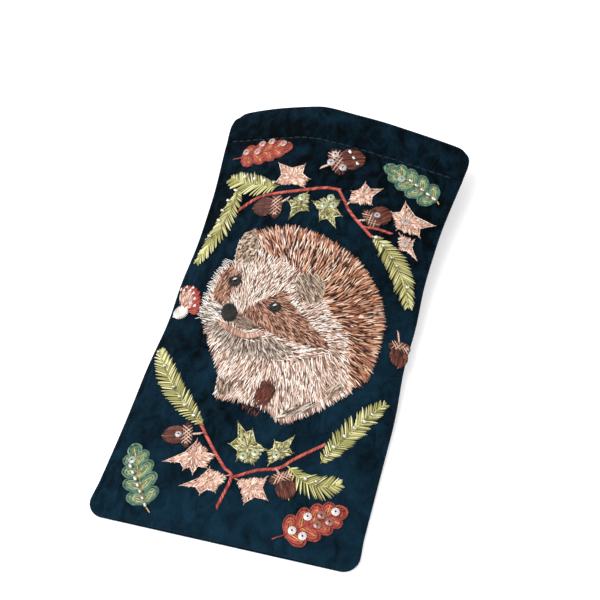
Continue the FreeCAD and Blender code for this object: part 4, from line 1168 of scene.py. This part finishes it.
# ---------------------------------------------------------------- leaves
FERNS = {
    "fern_top_left": ((-18, 50), (-28, 51), (-39, 55), 5.0),
    "fern_left": ((-34, 48.5), (-35.5, 33), (-41, 16.5), 4.4),
    "fern_right": ((23.3, 37), (34, 28.5), (41.8, 14.5), 4.6),
    "fern_bottom_left": ((-18, -49.5), (-33.5, -36.5), (-43.7, -22), 4.4),
    "fern_bottom_right": ((28, -54), (34.5, -41), (43.3, -26), 4.3),
    "fern_lower_right": ((17.5, -59), (27, -63.5), (36.2, -60.3), 4.6)}
FERN_DYES = dyes("#4f4820", "#7d763c", "#aaa563", "#cdc988", "#eeeab4")
OAKS = {
    "oak_leaf_red_top": ((-41, 65), (-36.5, 65.5), (-17.8, 69.3), 5.9),
    "oak_leaf_green_top": ((42, 61), (39.5, 62.5), (19.5, 70), 6.4),
    "oak_leaf_green_bottom": ((-26.5, -85.5), (-29.5, -82), (-40.5, -61.5), 6.6),
    "oak_leaf_red_bottom": ((20, -85.5), (24.5, -82.5), (41, -69), 6.8)}
RED_DYES = dyes("#7a2419", "#9c3a2b", "#b54c3b", "#c9634f")
GREEN_DYES = dyes("#3a5d4e", "#577a62", "#789777", "#a0b386")
GOLD_DYES = dyes("#9c7a35", "#c49c4b", "#dcb765")
MAPLES = {
    "pink_top": [
        ((-7.4, 50.6), (-13, 54), [(-19.2, 51.3), (-20.3, 60.6), (-10, 60.4), (-6.8, 54.6)]),
        ((10.5, 48), (14.5, 53.5), [(10.8, 54), (14.2, 59.2), (20.6, 58.7), (18.6, 51)]),
        ((30.5, 43.5), (32.5, 47.5), [(27, 50), (30.6, 56.2), (42.8, 51), (38.8, 44)]),
        ((31.8, 42), (35, 38.8), [(33.4, 36), (39.8, 34.6), (37.2, 41.6)])],
    "pink_bottom": [
        ((-9.7, -60), (-17, -62), [(-17.8, -56), (-26.8, -66.3), (-19, -67.6), (-15.4, -68.6), (-11.4, -65.4)]),
        ((-2.6, -66.6), (-9.5, -70.4), [(-10, -65.6), (-17.7, -74), (-10.3, -75.4), (-5.6, -73.6)]),
        ((0.6, -67.5), (7, -69), [(6.2, -75.6), (13.4, -72.6), (10.8, -64.6)])],
    "green_top": [
        ((-5.4, 49.3), (-7.4, 43.6), [(-11.4, 43.6), (-9.3, 36.8), (-3.6, 41.4)]),
        ((4, 50), (2.8, 44.5), [(-2.4, 45.5), (2.2, 38.2), (8.4, 37), (9.2, 42.2), (7, 48.4)])],
    "green_bottom": [
        ((5, -60.5), (0.8, -54.5), [(-1.4, -60.2), (-5.6, -54.8), (-5.2, -46.2), (0.6, -48), (7, -54)]),
        ((10.2, -59.6), (12.2, -54.2), [(8.4, -54.4), (9.8, -50.4), (15.8, -47.2), (17, -53.4)])]}
PINK_DYES = dyes("#b08676", "#d3a591", "#edc6b0", "#fde6d3")
OLIVE_DYES = dyes("#6a6336", "#979158", "#c1bc84", "#e4dfb6")
LEAF_ACORNS = {
    "acorn_top": ((6.4, 68.2), (1.6, 65.4), (4.4, 4.9), (3.2, 5.0), (-3.4, 61)),
    "acorn_upper_left": ((-20.4, 40.4), (-16, 41.2), (3.9, 4.4), (2.6, 4.6), (-12, 45)),
    "acorn_upper_right": ((23.2, 47), (20.4, 44.2), (3.8, 4.2), (2.4, 4.1), (16.4, 42.4)),
    "acorn_right": ((43.4, -6), (42.8, -2.2), (3.5, 3.4), (2.2, 3.5), (41, 3)),
    "acorn_lower_left": ((-26.4, -55.6), (-22.2, -54.6), (3.9, 3.8), (2.3, 4.0), (-17.2, -53)),
    "acorn_lower_right": ((18.6, -67), (16.4, -63.4), (3.6, 3.8), (2.3, 3.8), (13.4, -60.8))}
NUT_DYES = dyes("#2f0d06", "#471a0e", "#602817", "#7f402b")
CUP_DYES = dyes("#b48b78", "#d3aa95", "#ecc9b4")
TWIGS = {
    "twig_top": [([(-30.5, 39.6), (-23.5, 45), (-10, 48.6), (0, 52.6), (5.4, 53.4)], 1.3),
                 ([(5.4, 53.4), (8.6, 49.4), (12.5, 44.6), (22.7, 36.8)], 1.3),
                 ([(18.4, 40.2), (24, 41), (29, 41)], 1.0)],
    "twig_bottom": [([(-18.5, -49.6), (-12, -57), (-5.5, -63.6), (-1.6, -67.2), (-3, -79)], 1.3),
                    ([(-1.6, -67.2), (6.5, -62.6), (14, -60), (18.8, -55), (27, -47.6)], 1.3)]}
CORAL_DYES = dyes("#97352b", "#b54a3e", "#cf6658")


def quad(base, middle, tip, t):
    """Places and directions in degrees on a curve that passes through its middle point."""
    t = np.asarray(t, float)
    hold = 2 * np.array(middle) - (np.array(base) + np.array(tip)) / 2
    u = 1 - t
    at = np.outer(u * u, base) + np.outer(2 * u * t, hold) + np.outer(t * t, tip)
    slope = np.outer(2 * u, hold - base) + np.outer(2 * t, np.array(tip) - hold)
    return at[:, 0], at[:, 1], np.degrees(np.arctan2(slope[:, 1], slope[:, 0]))


def halfway(a, b):
    return (a[0] + b[0]) / 2, (a[1] + b[1]) / 2


def leaf_thread():
    """Width of the leaf thread in millimetres."""
    return bpy.context.scene.pouch_thread.leaf / MM


LEAFLET_PITCH = 1.05
# A leaflet is two strands side by side: (offset, share of the length, first tone); the first strand's darker tones
# are painted shade between the leaflets.
LEAFLET_STRANDS = ((-0.22, 0.9, 0), (0.2, 1.0, 2))


def fern_reach(t):
    return 0.12 + 0.88 * np.sin(math.pi * np.minimum(t * 0.94 + 0.03, 1.0)) ** 0.6


def embroider_fern(rng, name, base, middle, tip, half):
    """Feathery leaf: plump leaflets of two strands, side by side, and a twisted midrib."""
    threads = Threads(rng)
    size = leaf_thread()
    pairs = int((unit(base, middle)[0] + unit(middle, tip)[0]) / LEAFLET_PITCH)
    for side in (-1, 1):
        t = (np.arange(pairs) + 0.5 + 0.15 * side) / pairs
        x, y, turn = quad(base, middle, tip, t)
        reach = 1.1 * half * fern_reach(t) * rng.uniform(0.94, 1.12, pairs)
        lean = turn + side * (60 - 24 * t) + rng.normal(0, 4, pairs)
        (cosine, sine), _ = heading(lean)
        for offset, share, tone in LEAFLET_STRANDS:
            length = reach * share
            threads.add(x + cosine * length * 0.52 - sine * offset, y + sine * length * 0.52 + cosine * offset,
                        lean, length, size, pick(rng, FERN_DYES[tone:tone + 3], pairs),
                        height=size * 1.3, lift=0.4 + 0.12 * tone)
    rib = np.stack(quad(base, middle, tip, np.linspace(0, 1, 7))[:2], 1)
    threads.run(rib, 0.9, 1.5, 0.5, FERN_DYES[1:4], slant=14, lift=0.8)
    threads.lay(name + "_stitches", [name], 0.55)


LOBES, LOBE_WIDE = 4, 2.0
LOBE_NESTS = ((2.3, 1.02), (1.55, 0.86), (0.85, 0.68))
END_NESTS = ((2.3, 1.0), (1.4, 0.6), (0.6, 0.3))


def pad_outline(root, cross, out, wide, far, back):
    """Closed outline of one rounded lobe, from one side of its root to the other."""
    near, middle = cross * wide * 0.5, cross * wide
    return smooth_loop([root - near - out * back, root - middle + out * far * 0.5, root + out * far * 0.94,
                        root + middle + out * far * 0.5, root + near - out * back])


def embroider_oak(rng, name, stem, join, tip, half):
    """Lobed leaf: nested loops of thread that leave the velvet showing between the lobes."""
    threads = Threads(rng)
    size = leaf_thread()
    red = "red" in name
    table = RED_DYES if red else GREEN_DYES
    length, turn = unit(join, tip)
    ahead, aside = heading(turn)
    start = np.array(join, float)

    def loop_of(bow, tones):
        threads.run(bow, 0.95, 1.6, size * 1.55, tones, height=size * 1.2, lift=0.42)

    for side in (-1, 1):
        for lobe in range(LOBES):
            t = (lobe + 0.55) / (LOBES + 0.55)
            reach = half * (0.72 + 0.34 * math.sin(math.pi * min(t + 0.12, 1)))
            out = (ahead * (0.55 + 0.3 * t) + aside * side * 0.9)
            out /= np.linalg.norm(out)
            cross = np.array([-out[1], out[0]])
            root = start + ahead * length * (t - 0.14)
            fill(threads, pad_outline(root, cross, out, LOBE_WIDE, reach, 0.8), OAK_GROUND,
                 math.degrees(math.atan2(out[1], out[0])), table[:2])
            for nest, (wide, far) in enumerate(LOBE_NESTS):
                near, middle = cross * wide * 0.62, cross * wide
                loop_of([root - near + out * 0.2, root - middle + out * reach * far * 0.5,
                         root - near + out * reach * far * 0.9, root + out * reach * far,
                         root + near + out * reach * far * 0.9, root + middle + out * reach * far * 0.5,
                         root + near + out * 0.2], table[nest % 3:nest % 3 + 2])
            threads.run([root, root + out * reach * 0.72], 1.1, 1.5, size, GOLD_DYES, lift=0.5)
    # The end lobe.
    root = np.array(tip) - ahead * 4.2
    pad = smooth_loop([root - aside * 2, root - aside * 1.9 + ahead * 2.4, root + ahead * 3.9,
                       root + aside * 1.9 + ahead * 2.4, root + aside * 2])
    fill(threads, pad, OAK_GROUND, turn, table[:2])
    for wide, far in END_NESTS:
        shoulder = ahead * 2.6 * far
        loop_of([root - aside * wide, root - aside * wide + shoulder, root + ahead * (4.2 * far),
                 root + aside * wide + shoulder, root + aside * wide], table[:3])
    threads.run([stem, join, start + ahead * (length - 3)], 0.9, 1.5, 0.5, table[:2] if red else GOLD_DYES,
                lift=0.7)
    threads.lay(name + "_stitches", [name], 0.45)


def maple_outline(base, centre, tips):
    """Corners of a pointed leaf, a notch between each two tips."""
    corners = [base]
    for i, tip in enumerate(tips):
        if i:
            last = tips[i - 1]
            corners.append(tuple(centre[k] + 0.7 * ((tip[k] + last[k]) / 2 - centre[k]) for k in (0, 1)))
        corners.append(tip)
    return np.array(corners, float)


def embroider_maples(rng, name, leaves):
    """Pointed leaves in long and short stitch that runs back from each tip to the leaf's middle."""
    threads = Threads(rng)
    pink = "pink" in name
    table = PINK_DYES if pink else OLIVE_DYES
    for base, centre, tips in leaves:
        loop = maple_outline(base, centre, tips)
        ends = np.array(tips, float)

        def direction(x, y):
            near = np.argmin((x[:, None] - ends[:, 0]) ** 2 + (y[:, None] - ends[:, 1]) ** 2, axis=1)
            vein = away(ends[near, 0], ends[near, 1], centre)
            return vein + 26 * np.sign(np.sin(np.radians(away(x, y, centre) - vein)))

        heart = np.array(centre) + 0.88 * (loop - np.array(centre))
        fill(threads, heart, MAPLE_SATIN, direction, table)
        for start, end in zip(loop[1:-1], loop[2:]):
            length, turn = unit(start, end)
            count = max(int(length), 1)
            t = (np.arange(count) + 0.5) / count
            threads.add(start[0] + (end[0] - start[0]) * t, start[1] + (end[1] - start[1]) * t, turn,
                        1.25 * length / count, 0.42, pick(rng, table[1:], count), lift=0.5)
        for tip in tips:
            threads.run([centre, halfway(centre, tip), tip], 1.3, 1.7, 0.38, table[:2], lift=0.68)
        threads.run([base, halfway(base, centre), centre], 0.8, 1.3, 0.5, table[:3], lift=0.7)
    threads.lay(name + "_stitches", [name], 0.6)


def embroider_acorn(rng, name, nut, cup, nut_half, cup_half, stalk):
    """Nut in long strands, cup in crossed ones, and a stalk."""
    threads = Threads(rng)
    turn = unit(nut, cup)[1]
    ahead, aside = heading(turn)
    for k in np.arange(-0.96, 0.97, 0.096):
        wide = math.sqrt(1 - k * k)
        at = np.array(nut) + aside * k * nut_half[1] * 0.94
        for part in (-0.5, 0.5):
            shift = ahead * part * 0.96 * nut_half[0] * wide
            threads.add(at[0] + shift[0], at[1] + shift[1], turn + rng.normal(0, 2), 1.06 * nut_half[0] * wide,
                        0.5, pick(rng, NUT_DYES, 1), height=0.8, lift=0.45 + 0.5 * wide)
    point = np.array(nut) - ahead * nut_half[0]
    threads.add(point[0], point[1], turn, 1.6, 0.5, pick(rng, GOLD_DYES, 1), lift=0.6)
    # The cup: strands across it, then two crossing sets on top.
    for slant, step, table, width, lift in (
            (90, 0.14, NUT_DYES, 0.5, 0.6), (-42, 0.4, CUP_DYES, 0.4, 0.95), (42, 0.4, CUP_DYES, 0.4, 1.1)):
        span, reach = (ahead * cup_half[0], cup_half[1]) if slant == 90 else (aside * cup_half[1] * 0.85, cup_half[0])
        for k in np.arange(-0.95, 0.96, step):
            at = np.array(cup) + span * k
            threads.add(at[0], at[1], turn + slant, reach * 1.85 * math.sqrt(1 - k * k), width,
                        pick(rng, table, 1), lift=lift)
    threads.run([cup, halfway(cup, stalk), stalk], 0.8, 1.4, 0.5, CUP_DYES[1:3], slant=22, lift=0.6)
    threads.lay(name + "_stitches", [name], 0.45)


def embroider_twig(rng, name, branches):
    """Twig in rope stitch: short slanting stitches packed along a line."""
    threads = Threads(rng)
    for points, width in branches:
        threads.run(points, 0.62, width * 1.3, 0.56, CORAL_DYES, slant=30, height=0.8, lift=0.5)
    threads.lay(name + "_stitches", [name], 0.5)


CAP = [(-44.3, 4.6), (-38, 3.8), (-34.8, -1), (-34, -6.8), (-36.6, -5.4), (-38, 0.4)]
GILLS = [(-43.2, 2.6), (-39.6, 2.8), (-37.0, -0.8), (-36.6, -4.6), (-39.2, -3.4), (-42.2, -1.6)]
CAP_KNOTS = [(-43.6, 4.3), (-42.2, 3.4), (-41.4, 4.6), (-39.4, 3.1), (-37.6, 1.8), (-38.6, 4.2), (-36.4, -0.6),
             (-37.4, -2.4), (-35.4, -3.6), (-38.4, -4.2)]
CAP_HEART, STEM_CENTRE, STEM_RADIUS = (-43, -6), (-41, -5.6), 2.9
CAP_DYES = dyes("#8b2a20", "#a83c2e", "#bd5140")
BEIGE_DYES = dyes("#b39482", "#cfb5a3", "#e6d4c5")


def embroider_toadstool(rng):
    """Red cap with pale knots and beige gills, and a white stem."""
    cap = Threads(rng)
    fill(cap, smooth_loop(CAP), CAP_SATIN, lambda x, y: away(x, y, CAP_HEART), CAP_DYES)
    fill(cap, smooth_loop(GILLS), GILL_SATIN, lambda x, y: away(x, y, STEM_CENTRE),
         np.concatenate([BEIGE_DYES, CAP_DYES[2:]]))
    for x, y in CAP_KNOTS:
        cap.add([x, x + 0.2], [y, y + 0.3], [20, 110], 1.0, 0.6, pick(rng, WHITE_DYES, 2), lift=1.1)
    cap.lay("toadstool_cap_stitches", ["toadstool_cap"])
    stem = Threads(rng)
    for k in np.arange(-1, 1.01, 0.17):
        wide = math.sqrt(max(1 - k * k, 0.02))
        stem.add(STEM_CENTRE[0] + k * STEM_RADIUS * 0.77, STEM_CENTRE[1] + k * STEM_RADIUS * 0.64, 140.0,
                 2 * STEM_RADIUS * wide, 0.6, pick(rng, WHITE_DYES, 1), height=0.8, lift=0.55)
    stem.lay("toadstool_stem_stitches", ["toadstool_stem"])


# ---------------------------------------------------------------- beads, sequins and hem stitches
FERN_BEADS = {
    -20: [(-32, 54), (-27.5, 52.5), (-23, 51.5), (-19, 50.5)],
    80: [(-34, 47.6), (-35.7, 43), (-36.6, 38.4), (-36.8, 34), (-38.5, 27)],
    -45: [(24, 36.4), (27.5, 34), (31.5, 30.5), (34, 28), (39.5, 21)],
    -48: [(-38.5, -29.5), (-32.5, -37.5), (-29, -41), (-26, -44), (-21.5, -47.5)],
    58: [(40, -32), (38, -35.4), (35.5, -39), (33, -43), (30.5, -48), (29, -52)],
    -5: [(24.5, -62.3), (28.4, -62.3)]}
BUGLE_ROWS = [((30, 66), (40, 61.4), 5), ((-38, -71), (-28, -84), 7), ((5, 70.6), (9, 66.4), 3)]
SEQUINS = [
    ("#e3b3a3", [(-36.5, 67.5), (-31.6, 67.2), (-30.6, 71), (-26.8, 71.8), (-21.4, 70.4)]),
    ("#eadfe0", [(0, 68), (-0.6, 64), (4.2, 63.2), (22, 46.4), (-25, -55.3)]),
    ("#e0cfc6", [(32.5, 47.8), (34.6, 38.6)]),
    ("#d5dcb4", [(-7, 46), (3.6, 48.6), (2, 44.8), (5.4, 45.6), (4.2, -56.2), (0.4, -58.4), (12, -55.6)]),
    ("#c9d8c6", [(26.5, 66), (-38.5, -68.2)]),
    ("#b4705f", [(33, -77.4), (36.6, -75.2), (33.4, -73.6)]),
    ("#fdfcfa", [(37.6, -71), (29, -75.4), (25.2, -81.6), (29.2, -82.6)])]
GLASS_DYES = dyes("#e8e2d2", "#d3ccb8", "#f6f3ec")
BUGLE_DYES = dyes("#e8e4da", "#d9d6cb", "#f6f3ec")
TEAL_DYES = dyes("#0c1922", "#142733")
BEAD_FORM = {"Sides": 10, "Wall": 0.29}
SEQUIN_FORM = {"Sides": 16, "Hole": 0.1, "Rim": 0.035}
DASH_FORM = {"Sides": 5, "Rings": 5, "Taper": 0.4, "Arch": 0.5}
BEAD_LIFT, SEQUIN_LIFT = 0.9, 1.2
DASH_PITCH, DASH_LENGTH, DASH_MARGIN = 3.0, 2.0, 4.0


def scatter_trim(name, tree, rows, measure, lift, colours, cover, node, values):
    """Lay beads or sequins given as (x, y, turn) on the stitches."""
    rows = np.array(rows, float)
    places, normal = the_bag().place(rows[:, 0], rows[:, 1], np.full(len(rows), lift))
    piece = run_tree(name, tree, places, surface_line(rows[:, 2], normal), normal,
                     np.tile(np.array(measure, float), (len(rows), 1)), colours, values, cover)
    finish_trim(piece, [node])


def hem_dashes(rng):
    """Channel stitches that close the hem over the spring strip."""
    bag = the_bag()
    reach = float(bag.half_width(np.array(bag.hem_y))) - DASH_MARGIN
    x = np.arange(-reach, reach, DASH_PITCH)
    threads = Threads(rng)
    threads.add(x, bag.hem_y, 0.0, DASH_LENGTH, 0.3, pick(rng, TEAL_DYES, len(x)), lift=0.05)
    threads.lay("hem_stitch_thread_front", ["hem_stitches_front"], 0.4)
    # The back's dashes lie under the pouch, only where it stands off the table.
    x = x[bag.back(x, np.full_like(x, bag.hem_y)) > 0.5]
    y = np.full_like(x, bag.hem_y)
    along = np.stack([np.full_like(x, 2.0), np.zeros_like(x), bag.back(x + 1, y) - bag.back(x - 1, y)], 1)
    along /= np.linalg.norm(along, axis=1)[:, None]
    up = np.stack([along[:, 2], np.zeros_like(x), -along[:, 0]], 1)
    places = np.stack([x, y, bag.back(x, y)], 1) + up * 0.1
    piece = run_tree("hem_stitch_thread_back", stitch_tree(), places, along, up,
                     np.tile(np.array((DASH_LENGTH, 0.4, 0.4)), (len(x), 1)), pick(rng, TEAL_DYES, len(x)),
                     DASH_FORM, floss())
    finish_trim(piece, ["hem_stitches_back"], False)


def random_source(extra):
    return np.random.default_rng(bpy.context.scene.pouch_thread.seed * 100 + extra)


# ---------------------------------------------------------------- operators
class POUCH_OT_velvet(bpy.types.Operator):
    """Sew the two velvet panels"""
    bl_idname = "pouch.velvet"
    bl_label = "Velvet"

    def execute(self, context):
        for side in (1, -1):
            sew_panel(side)
        return {"FINISHED"}


class POUCH_OT_inside(bpy.types.Operator):
    """Lay the wadding and sew the lining"""
    bl_idname = "pouch.inside"
    bl_label = "Wadding and lining"

    def execute(self, context):
        for side in (1, -1):
            lay_wadding(side)
            sew_lining(side)
        return {"FINISHED"}


class POUCH_OT_frame(bpy.types.Operator):
    """Finish the spring strips and the hinge pins"""
    bl_idname = "pouch.spring_frame"
    bl_label = "Spring frame"

    def execute(self, context):
        strips = ["%s_spring_%s" % (half, part) for half in ("back", "front") for part in ("left", "middle", "right")]
        for name in (*strips, "hinge_pin_left", "hinge_pin_right"):
            piece = bpy.data.objects[name]
            piece.data.materials.clear()
            piece.data.materials.append(spring_steel())
        return {"FINISHED"}


class POUCH_OT_hedgehog(bpy.types.Operator):
    """Embroider the hedgehog"""
    bl_idname = "pouch.hedgehog"
    bl_label = "Hedgehog"

    def execute(self, context):
        for extra, embroider in enumerate(
                (embroider_spines, embroider_face, embroider_belly, embroider_features), start=1):
            embroider(random_source(extra))
        return {"FINISHED"}


class POUCH_OT_ferns(bpy.types.Operator):
    """Embroider the fern leaves"""
    bl_idname = "pouch.ferns"
    bl_label = "Ferns"

    def execute(self, context):
        rng = random_source(5)
        for name, drawn in FERNS.items():
            embroider_fern(rng, name, *drawn)
        return {"FINISHED"}


class POUCH_OT_oaks(bpy.types.Operator):
    """Embroider the oak leaves"""
    bl_idname = "pouch.oak_leaves"
    bl_label = "Oak leaves"

    def execute(self, context):
        rng = random_source(6)
        for name, drawn in OAKS.items():
            embroider_oak(rng, name, *drawn)
        return {"FINISHED"}


class POUCH_OT_maples(bpy.types.Operator):
    """Embroider the maple leaves"""
    bl_idname = "pouch.maple_leaves"
    bl_label = "Maple leaves"

    def execute(self, context):
        rng = random_source(7)
        for name, leaves in MAPLES.items():
            embroider_maples(rng, "maple_leaves_" + name, leaves)
        return {"FINISHED"}


class POUCH_OT_acorns(bpy.types.Operator):
    """Embroider the acorns, twigs and toadstool"""
    bl_idname = "pouch.acorns"
    bl_label = "Acorns, twigs and toadstool"

    def execute(self, context):
        rng = random_source(8)
        for name, drawn in LEAF_ACORNS.items():
            embroider_acorn(rng, name, *drawn)
        for name, branches in TWIGS.items():
            embroider_twig(rng, name, branches)
        embroider_toadstool(rng)
        return {"FINISHED"}


class POUCH_OT_trim(bpy.types.Operator):
    """Sew on the beads, bugles and sequins"""
    bl_idname = "pouch.trim"
    bl_label = "Beads and sequins"

    def execute(self, context):
        rng = random_source(9)
        trim = context.scene.pouch_trim
        beads = [(x, y, turn) for turn, places in FERN_BEADS.items() for x, y in places]
        wide = trim.bead / MM
        scatter_trim("seed_bead_row", bead_tree(), beads, (wide, wide, wide), BEAD_LIFT + wide / 2,
                     pick(rng, GLASS_DYES, len(beads)), lined_glass(), "seed_beads", BEAD_FORM)
        bugles = []
        for start, end, count in BUGLE_ROWS:
            for share in np.linspace(0, 1, count):
                bugles.append((start[0] + (end[0] - start[0]) * share, start[1] + (end[1] - start[1]) * share,
                               unit(start, end)[1]))
        wide, far = trim.bugle / MM, trim.bugle_length / MM
        scatter_trim("bugle_bead_row", bead_tree(), bugles, (far / (2 * BEAD_FORM["Wall"]), wide, wide),
                     BEAD_LIFT + wide / 2, pick(rng, BUGLE_DYES, len(bugles)), lined_glass(),
                     "bugle_beads", BEAD_FORM)
        sequins = [(x, y, rng.uniform(0, 90)) for _, places in SEQUINS for x, y in places]
        tints = dyes(*[code for code, places in SEQUINS for _ in places])
        wide = trim.sequin / MM
        scatter_trim("sequin_cups", sequin_tree(), sequins, (wide, wide, wide), SEQUIN_LIFT, tints, pearl_film(),
                     "sequins", SEQUIN_FORM)
        hem_dashes(random_source(10))
        return {"FINISHED"}


FLOOR_GLOW, FILL_SHARE = 0.3, 0.35
TABLE_HALF = 2.0
SOFTBOXES = {"key_softbox": ((-0.45, -0.25, 0.9), 0.9, 1.0), "fill_softbox": ((0.7, -0.5, 0.8), 0.8, FILL_SHARE)}
CAMERA_PLACE = (0.14726, -0.30818, 0.50171)
CAMERA_TURN = (34.993, 5.774, 16.470)


class POUCH_OT_stage(bpy.types.Operator):
    """Set the floor, the softboxes and the camera"""
    bl_idname = "pouch.stage"
    bl_label = "Stage"

    def execute(self, context):
        scene, stage = context.scene, context.scene.pouch_stage
        mesh = bpy.data.meshes.new("table")
        corners = [(x * TABLE_HALF, y * TABLE_HALF, 0) for x, y in ((-1, -1), (1, -1), (1, 1), (-1, 1))]
        mesh.from_pydata(corners, [], [(0, 1, 2, 3)])
        table = keep_mesh("table_top", mesh)
        mesh.materials.append(table_paint())
        for name, (spot, size, share) in SOFTBOXES.items():
            lamp = bpy.data.lights.new(name, "AREA")
            lamp.shape = "SQUARE"
            lamp.size = size
            lamp.energy = stage.key_watts * share
            holder = bpy.data.objects.new(name, lamp)
            holder.location = spot
            holder.rotation_euler = (-holder.location).to_track_quat("-Z", "Y").to_euler()
            scene.collection.objects.link(holder)
        world = bpy.data.worlds.new("studio")
        world.use_nodes = True
        sky = world.node_tree.nodes["Background"]
        sky.inputs[0].default_value = (1, 1, 1, 1)
        sky.inputs[1].default_value = stage.sky
        scene.world = world
        camera = bpy.data.objects.new("camera", bpy.data.cameras.new("camera"))
        camera.data.lens = stage.lens
        camera.data.sensor_width = 36
        camera.location = CAMERA_PLACE
        camera.rotation_euler = Euler([math.radians(a) for a in CAMERA_TURN])
        scene.collection.objects.link(camera)
        scene.camera = camera
        scene.view_settings.view_transform = "Standard"
        return {"FINISHED"}


OPERATORS = (POUCH_OT_velvet, POUCH_OT_inside, POUCH_OT_frame, POUCH_OT_hedgehog, POUCH_OT_ferns, POUCH_OT_oaks,
             POUCH_OT_maples, POUCH_OT_acorns, POUCH_OT_trim, POUCH_OT_stage)


class POUCH_PT_panel(bpy.types.Panel):
    """Sizes and steps of the pouch"""
    bl_label = "Embroidered Pouch"
    bl_idname = "POUCH_PT_panel"
    bl_space_type = "VIEW_3D"
    bl_region_type = "UI"
    bl_category = "Pouch"

    def draw(self, context):
        for group in ("pouch_cloth", "pouch_thread", "pouch_trim", "pouch_stage"):
            box = self.layout.box()
            values = getattr(context.scene, group)
            for name in values.__annotations__:
                box.prop(values, name)
        for operator in OPERATORS:
            self.layout.operator(operator.bl_idname)


GROUPS = {"pouch_cloth": PouchCloth, "pouch_thread": PouchThread, "pouch_trim": PouchTrim,
          "pouch_stage": PouchStage}


def register():
    for name, group in GROUPS.items():
        bpy.utils.register_class(group)
        setattr(bpy.types.Scene, name, PointerProperty(type=group))
    for operator in OPERATORS:
        bpy.utils.register_class(operator)
    bpy.utils.register_class(POUCH_PT_panel)


def unregister():
    bpy.utils.unregister_class(POUCH_PT_panel)
    for operator in reversed(OPERATORS):
        bpy.utils.unregister_class(operator)
    for name, group in GROUPS.items():
        delattr(bpy.types.Scene, name)
        bpy.utils.unregister_class(group)


def main():
    register()
    for operator in OPERATORS:
        area, name = operator.bl_idname.split(".")
        getattr(getattr(bpy.ops, area), name)()


if __name__ == "__main__":
    main()
